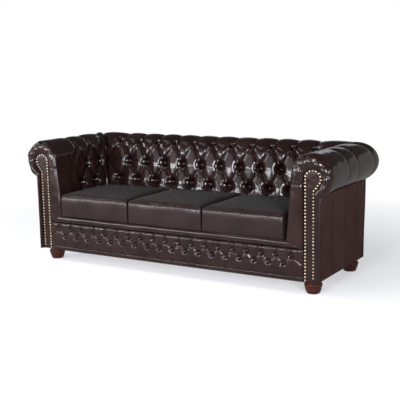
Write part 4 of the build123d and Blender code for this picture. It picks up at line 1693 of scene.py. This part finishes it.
@dataclass
class SeatCushion:
    """One loose seat cushion, blown up as cloth and then sewn."""

    finishes: Finishes
    word: str
    body: Body
    middle: float
    half: float = 0.2464
    front: float = -0.377
    rear: float = 0.1012
    bottom: float = 0.2905
    seam: float = 0.418
    crown: float = 0.020
    cell: float = 0.0105
    pull: float = 0.002
    swell: float = 0.024
    draw: float = 0.0015
    filling_frames: int = 18
    stitch: float = 0.0165
    groove: float = 0.003
    pucker: float = 0.0078
    side_round: float = 0.010
    front_round: float = 0.020
    belly: float = 0.010
    lean: float = 0.155
    lean_from: float = 0.378

    def blank(self) -> Mesh:
        """The cut cover before it is filled, a little small, with each point's first place.

        Returns:
            The blank.
        """
        mesh = bmesh.new()
        bmesh.ops.create_cube(mesh, size=1.0)
        depth = self.rear - self.front - 2 * self.pull
        size = Vector((2 * (self.half - self.pull), depth, self.seam - self.bottom))
        bmesh.ops.scale(mesh, vec=size, verts=mesh.verts)
        centre = Vector((self.middle, (self.front + self.rear) / 2, (self.bottom + self.seam) / 2))
        bmesh.ops.translate(mesh, vec=centre, verts=mesh.verts)
        for axis in range(3):
            cuts = max(int(size[axis] / self.cell), 2)
            chosen = [edge for edge in mesh.edges if self._runs(edge, axis)]
            bmesh.ops.subdivide_edges(mesh, edges=chosen, cuts=cuts, use_grid_fill=True)
        first = mesh.verts.layers.float_vector.new("first_place")
        for vertex in mesh.verts:
            vertex[first] = vertex.co
        return mesh

    @staticmethod
    def _runs(edge: bmesh.types.BMEdge, axis: int) -> bool:
        """Whether an edge runs along an axis."""
        run = edge.verts[1].co - edge.verts[0].co
        return abs(run[axis]) > 0.9 * run.length

    def inflate(self, piece: Piece) -> None:
        """Fills the cover with air as cloth and keeps the result, each point's move held to the swell.

        Args:
            piece: The cover.
        """
        cloth = piece.modifiers.new("filling", "CLOTH")
        cloth.settings.quality = 5
        cloth.settings.mass = 0.25
        cloth.settings.tension_stiffness = 18
        cloth.settings.compression_stiffness = 18
        cloth.settings.bending_stiffness = 1.2
        cloth.settings.use_pressure = True
        cloth.settings.uniform_pressure_force = 4.0
        cloth.settings.effector_weights.gravity = 0.0
        cloth.point_cache.frame_start, cloth.point_cache.frame_end = 1, self.filling_frames
        scene = bpy.context.scene
        for step in range(1, self.filling_frames + 1):
            scene.frame_set(step)
        shape = piece.evaluated_get(bpy.context.evaluated_depsgraph_get())
        points = [vertex.co.copy() for vertex in shape.data.vertices]
        piece.modifiers.remove(cloth)
        for vertex, point in zip(piece.data.vertices, points):
            move = point - vertex.co
            if move.length > self.swell:
                move.length = self.swell
            for axis, middle in ((0, self.middle), (1, (self.front + self.rear) / 2)):
                outward = math.copysign(1.0, vertex.co[axis] - middle)
                move[axis] = outward * max(outward * move[axis], -self.draw)
            vertex.co += move
        scene.frame_set(1)

    def press(self, point: Vector) -> Vector:
        """Keeps a swollen point inside the room that the cushion has.

        Args:
            point: The swollen point.

        Returns:
            The point inside the room.
        """
        run = (point.x - self.middle) / self.half
        way = (point.y - self.front) / (self.rear - self.front)
        full = clamp(1 - run * run) * clamp(4 * way * (1 - way))
        top = self.seam + 0.004 + self.crown * full**0.6
        x = math.copysign(soft_limit(abs(point.x - self.middle), self.half, 0.004), point.x - self.middle)
        under = clamp(1 - 2 * (point.z - self.bottom) / (self.seam - self.bottom))
        over = max(point.z - self.lean_from, 0.0)
        front = self.front + self.belly * under**4 + self.lean * over**2 / (over + 0.008)
        y = -soft_limit(-soft_limit(point.y, self.rear, 0.004), -front, 0.004)
        z = max(soft_limit(point.z, top, 0.008), self.bottom)
        run, z = self.round_edge(self.half - abs(x), top - z, self.side_round, top)
        x = math.copysign(self.half - run, x)
        inner, z = self.round_edge(self.rear - y, top - z, self.side_round, top)
        inner, z = self.round_edge(self.rear - inner - front, top - z, self.front_round, top)
        return Vector((self.middle + x, front + inner, z))

    @staticmethod
    def round_edge(inward: float, down: float, radius: float, top: float) -> tuple[float, float]:
        """Draws a point near a top edge onto that edge's round.

        Args:
            inward: How far inside the face it lies.
            down: How far below the top it lies.
            radius: Radius of the round.
            top: Height of the top.

        Returns:
            How far inside the face it lies then, and its height.
        """
        run, rise = radius - inward, radius - down
        if run > 0 and rise > 0 and math.hypot(run, rise) > radius:
            shrink = radius / math.hypot(run, rise)
            run, rise = run * shrink, rise * shrink
        return radius - run, top - radius + rise

    def stitching(self, point: Vector) -> float:
        """Depth of the sewn edge and its puckers at a point of the blank.

        Args:
            point: The point's first place.

        Returns:
            The depth.
        """
        side = self.half - self.pull - abs(point.x - self.middle)
        end = min(point.y - self.front, self.rear - point.y) - self.pull
        away = math.hypot(max(min(side, end), 0.0), max(self.seam - point.z, 0.0))
        along = point.x if end < side else point.y
        drift = 4.0 * ripple(along * 16, self.middle, 3.0)
        wave = (0.5 + 0.5 * math.sin(math.tau * along / self.stitch + drift)) ** 2
        groove = self.groove * math.exp(-((away / 0.005) ** 2))
        pucker = self.pucker * wave * math.exp(-away / 0.018) * smooth(away / 0.006)
        return groove + pucker + 0.0014 * ripple(point.x * 9, point.y * 9, point.z * 12 + self.middle)

    def sew(self, piece: Piece) -> None:
        """Divides the filled cover, presses it into its room and sews its edges.

        Args:
            piece: The filled cover.
        """
        mesh = bmesh.new()
        mesh.from_mesh(piece.data)
        bmesh.ops.subdivide_edges(mesh, edges=mesh.edges, cuts=1, use_grid_fill=True)
        for _ in range(2):
            bmesh.ops.smooth_vert(
                mesh, verts=mesh.verts, factor=0.5, use_axis_x=True, use_axis_y=True, use_axis_z=True
            )
        first = mesh.verts.layers.float_vector["first_place"]
        for vertex in mesh.verts:
            vertex.co = self.press(vertex.co)
        mesh.normal_update()
        sewn = [vertex.co - vertex.normal * self.stitching(vertex[first]) for vertex in mesh.verts]
        for vertex, point in zip(mesh.verts, sewn):
            vertex.co = Vector((point.x, point.y, max(point.z, self.bottom)))
        mesh.to_mesh(piece.data)
        mesh.free()
        piece.data.polygons.foreach_set("use_smooth", [True] * len(piece.data.polygons))

    def build(self) -> list[Piece]:
        """Builds the cushion.

        Returns:
            The new pieces.
        """
        piece = settle(f"seat_cushion_cover_{self.word}", self.blank(), self.finishes.seat_leather, self.body)
        self.inflate(piece)
        self.sew(piece)
        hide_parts(f"cushion_cover_{self.word}", f"cushion_core_{self.word}")
        return [piece]


@dataclass
class SeatDeck:
    """What lies under the cushions: the quilted deck pad, and the dust cover below the frame."""

    finishes: Finishes
    deck_half: float = 0.8018
    deck_front: float = -0.286
    deck_rear: float = 0.206
    deck_low: float = 0.2702
    deck_high: float = 0.2898
    channel: float = 0.099
    cover_half: float = 0.925
    cover_front: float = -0.322
    cover_rear: float = 0.285
    cover_height: float = 0.0732

    def pad(self) -> Piece:
        """Builds the deck pad with its sewn channels.

        Returns:
            The new piece.
        """
        mesh = bmesh.new()
        bmesh.ops.create_cube(mesh, size=1.0)
        size = Vector((2 * self.deck_half, self.deck_rear - self.deck_front, self.deck_high - self.deck_low))
        centre = Vector((0, (self.deck_front + self.deck_rear) / 2, (self.deck_high + self.deck_low) / 2))
        bmesh.ops.scale(mesh, vec=size, verts=mesh.verts)
        bmesh.ops.translate(mesh, vec=centre, verts=mesh.verts)
        bmesh.ops.bevel(
            mesh, geom=list(mesh.edges), offset=0.005, offset_type="OFFSET", segments=3, profile=0.5,
            affect="EDGES", material=-1
        )
        for axis, cuts in ((0, 160), (1, 50)):
            chosen = [edge for edge in mesh.edges if abs((edge.verts[1].co - edge.verts[0].co)[axis]) > 0.3]
            bmesh.ops.subdivide_edges(mesh, edges=chosen, cuts=cuts, use_grid_fill=True)
        for vertex in mesh.verts:
            x, y, z = vertex.co
            if z > self.deck_high - 0.001:
                near = abs(x / self.channel - round(x / self.channel)) * self.channel
                vertex.co.z -= 0.006 * math.exp(-near / 0.009) + 0.0012 * (1 + ripple(x * 8, y * 8, 1.0))
        piece = settle("deck_pad_cover", mesh, self.finishes.by_slot["deck_cloth"], Body.SOFA)
        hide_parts("seat_deck_pad")
        return piece

    def dust_cover(self) -> Piece:
        """Stretches the dust cover under the frame.

        Returns:
            The new piece.
        """

        def place(along: float, across: float) -> Vector:
            """A point of the cloth, which hangs a little between its tacks.

            Args:
                along: Share of the way from left to right.
                across: Share of the way across.

            Returns:
                The point in the sofa's space.
            """
            x = mix(-self.cover_half, self.cover_half, along)
            y = mix(self.cover_front, self.cover_rear, across)
            sag = 0.004 * math.sin(math.pi * along) * math.sin(math.pi * across)
            return Vector((x, y, self.cover_height - sag - 0.0004 * ripple(x * 12, y * 12, 8.0)))

        cloth = self.finishes.by_slot["dust_cloth"]
        piece = settle("dust_cover_cloth", skin(90, 36, place), cloth, Body.SOFA)
        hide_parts("dust_cover")
        return piece

    def build(self) -> list[Piece]:
        """Builds the pad and the dust cover."""
        return [self.pad(), self.dust_cover()]


@dataclass
class TurnedFoot:
    """One turned foot."""

    finishes: Finishes
    name: str
    x: float
    y: float
    steps: int = 48
    profile: tuple[tuple[float, float], ...] = (
        (0.0, 0.0), (0.033, 0.0), (0.035, 0.002), (0.0372, 0.006), (0.0358, 0.0075), (0.0380, 0.009),
        (0.0418, 0.019), (0.0446, 0.028), (0.0433, 0.0298), (0.0450, 0.0315), (0.048, 0.042), (0.0485, 0.048),
        (0.0475, 0.0525), (0.044, 0.0555), (0.0413, 0.0572), (0.041, 0.0605), (0.0425, 0.0625),
        (0.0452, 0.0642), (0.046, 0.067), (0.046, 0.0725), (0.0455, 0.074), (0.0, 0.074),
    )

    def build(self) -> list[Piece]:
        """Spins the foot's profile.

        Returns:
            The new pieces.
        """
        mesh = bmesh.new()
        points = [mesh.verts.new((radius, 0, height)) for radius, height in self.profile]
        edges = [mesh.edges.new(pair) for pair in zip(points, points[1:])]
        bmesh.ops.spin(
            mesh, geom=[*points, *edges], cent=(0, 0, 0), axis=(0, 0, 1), angle=math.tau,
            steps=self.steps, use_merge=True
        )
        bmesh.ops.remove_doubles(mesh, verts=mesh.verts, dist=1e-5)
        bmesh.ops.translate(mesh, vec=(self.x, self.y, 0), verts=mesh.verts)
        piece = settle(f"turned_foot_{self.name}", mesh, self.finishes.mahogany, Body.SOFA)
        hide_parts(f"foot_{self.name}")
        return [piece]


@dataclass(frozen=True)
class SoftBox:
    """A soft lamp: where it hangs, what it points at, its width and height, and its power in watts."""

    name: str
    spot: tuple[float, float, float]
    aim: tuple[float, float, float]
    size: tuple[float, float]
    power: float
    colour: Colour = (0.93, 0.94, 1.0)

    def build(self) -> None:
        """Hangs the lamp, which the camera doesn't see."""
        data = bpy.data.lights.new(self.name, "AREA")
        data.shape = "RECTANGLE"
        data.size, data.size_y = self.size
        data.energy = self.power
        data.color = self.colour
        lamp = bpy.data.objects.new(self.name, data)
        lamp.visible_camera = False
        lamp.location = self.spot
        lamp.rotation_euler = (Vector(self.aim) - Vector(self.spot)).to_track_quat("-Z", "Y").to_euler()
        bpy.context.scene.collection.objects.link(lamp)


@dataclass
class Studio:
    """A pale studio with soft lamps, and the camera of the photograph."""

    place: tuple[float, float, float] = (2.598, -4.231, 1.252)
    yaw: float = 0.54796
    pitch: float = 0.17320
    roll: float = -0.02059
    lens: float = 76.2
    wall_far: float = 18.0
    wall_high: float = 5.5
    near_white: float = 0.36
    white_from: float = 1.1
    white_to: float = 2.6
    sky_strength: float = 0.25
    lamps: tuple[SoftBox, ...] = (
        SoftBox("window", (-2.0, -3.1, 1.15), (0, 0.1, 0.8), (4.2, 2.2), 72),
        SoftBox("level_strip", (-1.8, -3.0, 0.68), (0, 0.1, 0.6), (2.8, 0.15), 95),
        SoftBox("front_strip", (0.9, -4.4, 0.95), (0, 0, 0.5), (0.9, 1.2), 215),
        SoftBox("right_strip", (3.3, -2.9, 0.95), (0, 0, 0.5), (0.7, 1.2), 165),
        SoftBox("left_strip", (-3.8, -1.3, 1.9), (0, 0, 0.5), (0.6, 1.0), 70),
        SoftBox("top_strip", (-1.5, -1.0, 2.9), (-0.3, -0.1, 0.5), (2.4, 0.10), 17),
        SoftBox("rear_box", (-1.2, 4.2, 2.2), (0, 0, 0.5), (2.4, 0.8), 16),
        SoftBox("side_box", (4.0, -0.6, 1.9), (0.4, 0, 0.4), (0.8, 0.8), 33),
    )

    def camera(self) -> None:
        """Sets up the camera."""
        data = bpy.data.cameras.new("photo_camera")
        data.lens = self.lens
        data.sensor_width = 36.0
        level = math.cos(self.pitch)
        ahead = Vector((-math.sin(self.yaw) * level, math.cos(self.yaw) * level, -math.sin(self.pitch)))
        right = Vector((math.cos(self.yaw), math.sin(self.yaw), 0))
        down = ahead.cross(right)
        x_axis = math.cos(self.roll) * right - math.sin(self.roll) * down
        y_axis = -(math.sin(self.roll) * right + math.cos(self.roll) * down)
        turn = Matrix((x_axis, y_axis, -ahead)).transposed().to_4x4()
        camera = bpy.data.objects.new("photo_camera", data)
        camera.matrix_world = Matrix.Translation(self.place) @ turn
        bpy.context.scene.collection.objects.link(camera)
        bpy.context.scene.camera = camera

    def paper(self) -> Material:
        """White studio paper, which takes shadows near the sofa and shows its own white farther off.

        Returns:
            The material.
        """
        graph = NodeGraph("studio_paper")
        colour = graph.ramp(graph.noise(2.0), [(0.0, (0.86, 0.86, 0.87)), (1.0, (0.9, 0.9, 0.91))])
        matt = graph.add("ShaderNodeBsdfDiffuse", Color=colour)
        glow = graph.add("ShaderNodeEmission", Color=(1, 1, 1, 1), Strength=1.0)
        rays = graph.add("ShaderNodeLightPath")
        shown = graph.sum(rays.outputs["Is Camera Ray"], rays.outputs["Is Glossy Ray"])
        shown = graph.sum(shown, rays.outputs["Is Transmission Ray"])
        far = graph.add("ShaderNodeVectorMath", Vector=graph.place)
        far.operation = "LENGTH"
        spread = graph.add("ShaderNodeMapRange", Value=far.outputs["Value"])
        limits = {"From Min": self.white_from, "From Max": self.white_to, "To Min": self.near_white}
        for name, value in limits.items():
            spread.inputs[name].default_value = value
        spread.inputs["To Max"].default_value = 1.0
        seen = graph.add("ShaderNodeMath")
        seen.operation = "MULTIPLY"
        graph.feed(seen.inputs[0], shown)
        graph.feed(seen.inputs[1], spread.outputs[0])
        both = graph.add("ShaderNodeMixShader", Fac=seen.outputs[0])
        graph.feed(both.inputs[1], matt.outputs[0])
        graph.feed(both.inputs[2], glow.outputs[0])
        return graph.finish(both)

    def backdrop(self) -> None:
        """Lays the pale floor and stands a pale wall round it."""
        mesh = bmesh.new()
        bmesh.ops.create_circle(mesh, cap_ends=True, segments=96, radius=self.wall_far)
        rim = [edge for edge in mesh.edges if edge.is_boundary]
        wall = bmesh.ops.extrude_edge_only(mesh, edges=rim)["geom"]
        top = [item for item in wall if isinstance(item, bmesh.types.BMVert)]
        bmesh.ops.translate(mesh, vec=(0, 0, self.wall_high), verts=top)
        data = bpy.data.meshes.new("studio_backdrop")
        mesh.to_mesh(data)
        mesh.free()
        data.materials.append(self.paper())
        backdrop = bpy.data.objects.new("studio_backdrop", data)
        bpy.context.scene.collection.objects.link(backdrop)

    def sky(self) -> None:
        """Fills the room with dim even light."""
        world = bpy.data.worlds.new("studio")
        bpy.context.scene.world = world
        world.use_nodes = True
        soft = world.node_tree.nodes["Background"]
        soft.inputs["Color"].default_value = (0.92, 0.95, 1.0, 1.0)
        soft.inputs["Strength"].default_value = self.sky_strength

    def build(self) -> None:
        """Sets up the camera, the lamps, the floor and the sky."""
        self.camera()
        self.backdrop()
        self.sky()
        for lamp in self.lamps:
            lamp.build()
        bpy.context.scene.view_settings.view_transform = "Standard"


Cover = InsideBack | InsideArm | ArmFront | FrontPanel | OutsidePanels
Assembly = Cover | SeatDeck | SeatCushion | TurnedFoot


@dataclass
class Sofa:
    """The whole sofa: its finishes and its dressed pieces."""

    finishes: Finishes = field(default_factory=Finishes)
    cushion_pitch: float = 0.4949
    foot_out: float = 0.868
    front_foot: float = -0.278
    rear_foot: float = 0.238

    def parts(self) -> list[Assembly]:
        """The sub-assemblies in the order they are built.

        Returns:
            The sub-assemblies.
        """
        finishes = self.finishes
        parts: list[Assembly] = [kind(finishes) for kind in (InsideBack, FrontPanel, OutsidePanels, SeatDeck)]
        for side in Side:
            parts += [InsideArm(finishes, side), ArmFront(finishes, side)]
        for body, seat in ((Body.LEFT, -1), (Body.CENTRE, 0), (Body.RIGHT, 1)):
            parts.append(SeatCushion(finishes, body.name.lower(), body, seat * self.cushion_pitch))
        for side in Side:
            for word, y in (("front", self.front_foot), ("rear", self.rear_foot)):
                name = f"{word}_{side.word}"
                parts.append(TurnedFoot(finishes, name, side.value * self.foot_out, y))
        return parts

    def build(self) -> None:
        """Dresses the CAD nodes and builds every new piece."""
        LOG.info("dressed %d slots of CAD nodes", self.finishes.dress())
        for part in self.parts():
            for piece in part.build():
                LOG.info("%s: %s, %d faces", type(part).__name__, piece.name, len(piece.data.polygons))


def main() -> None:
    """Builds the scene."""
    logging.basicConfig(level=logging.INFO, format="%(name)s: %(message)s")
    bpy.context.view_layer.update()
    Sofa().build()
    Studio().build()


if __name__ == "__main__":
    main()
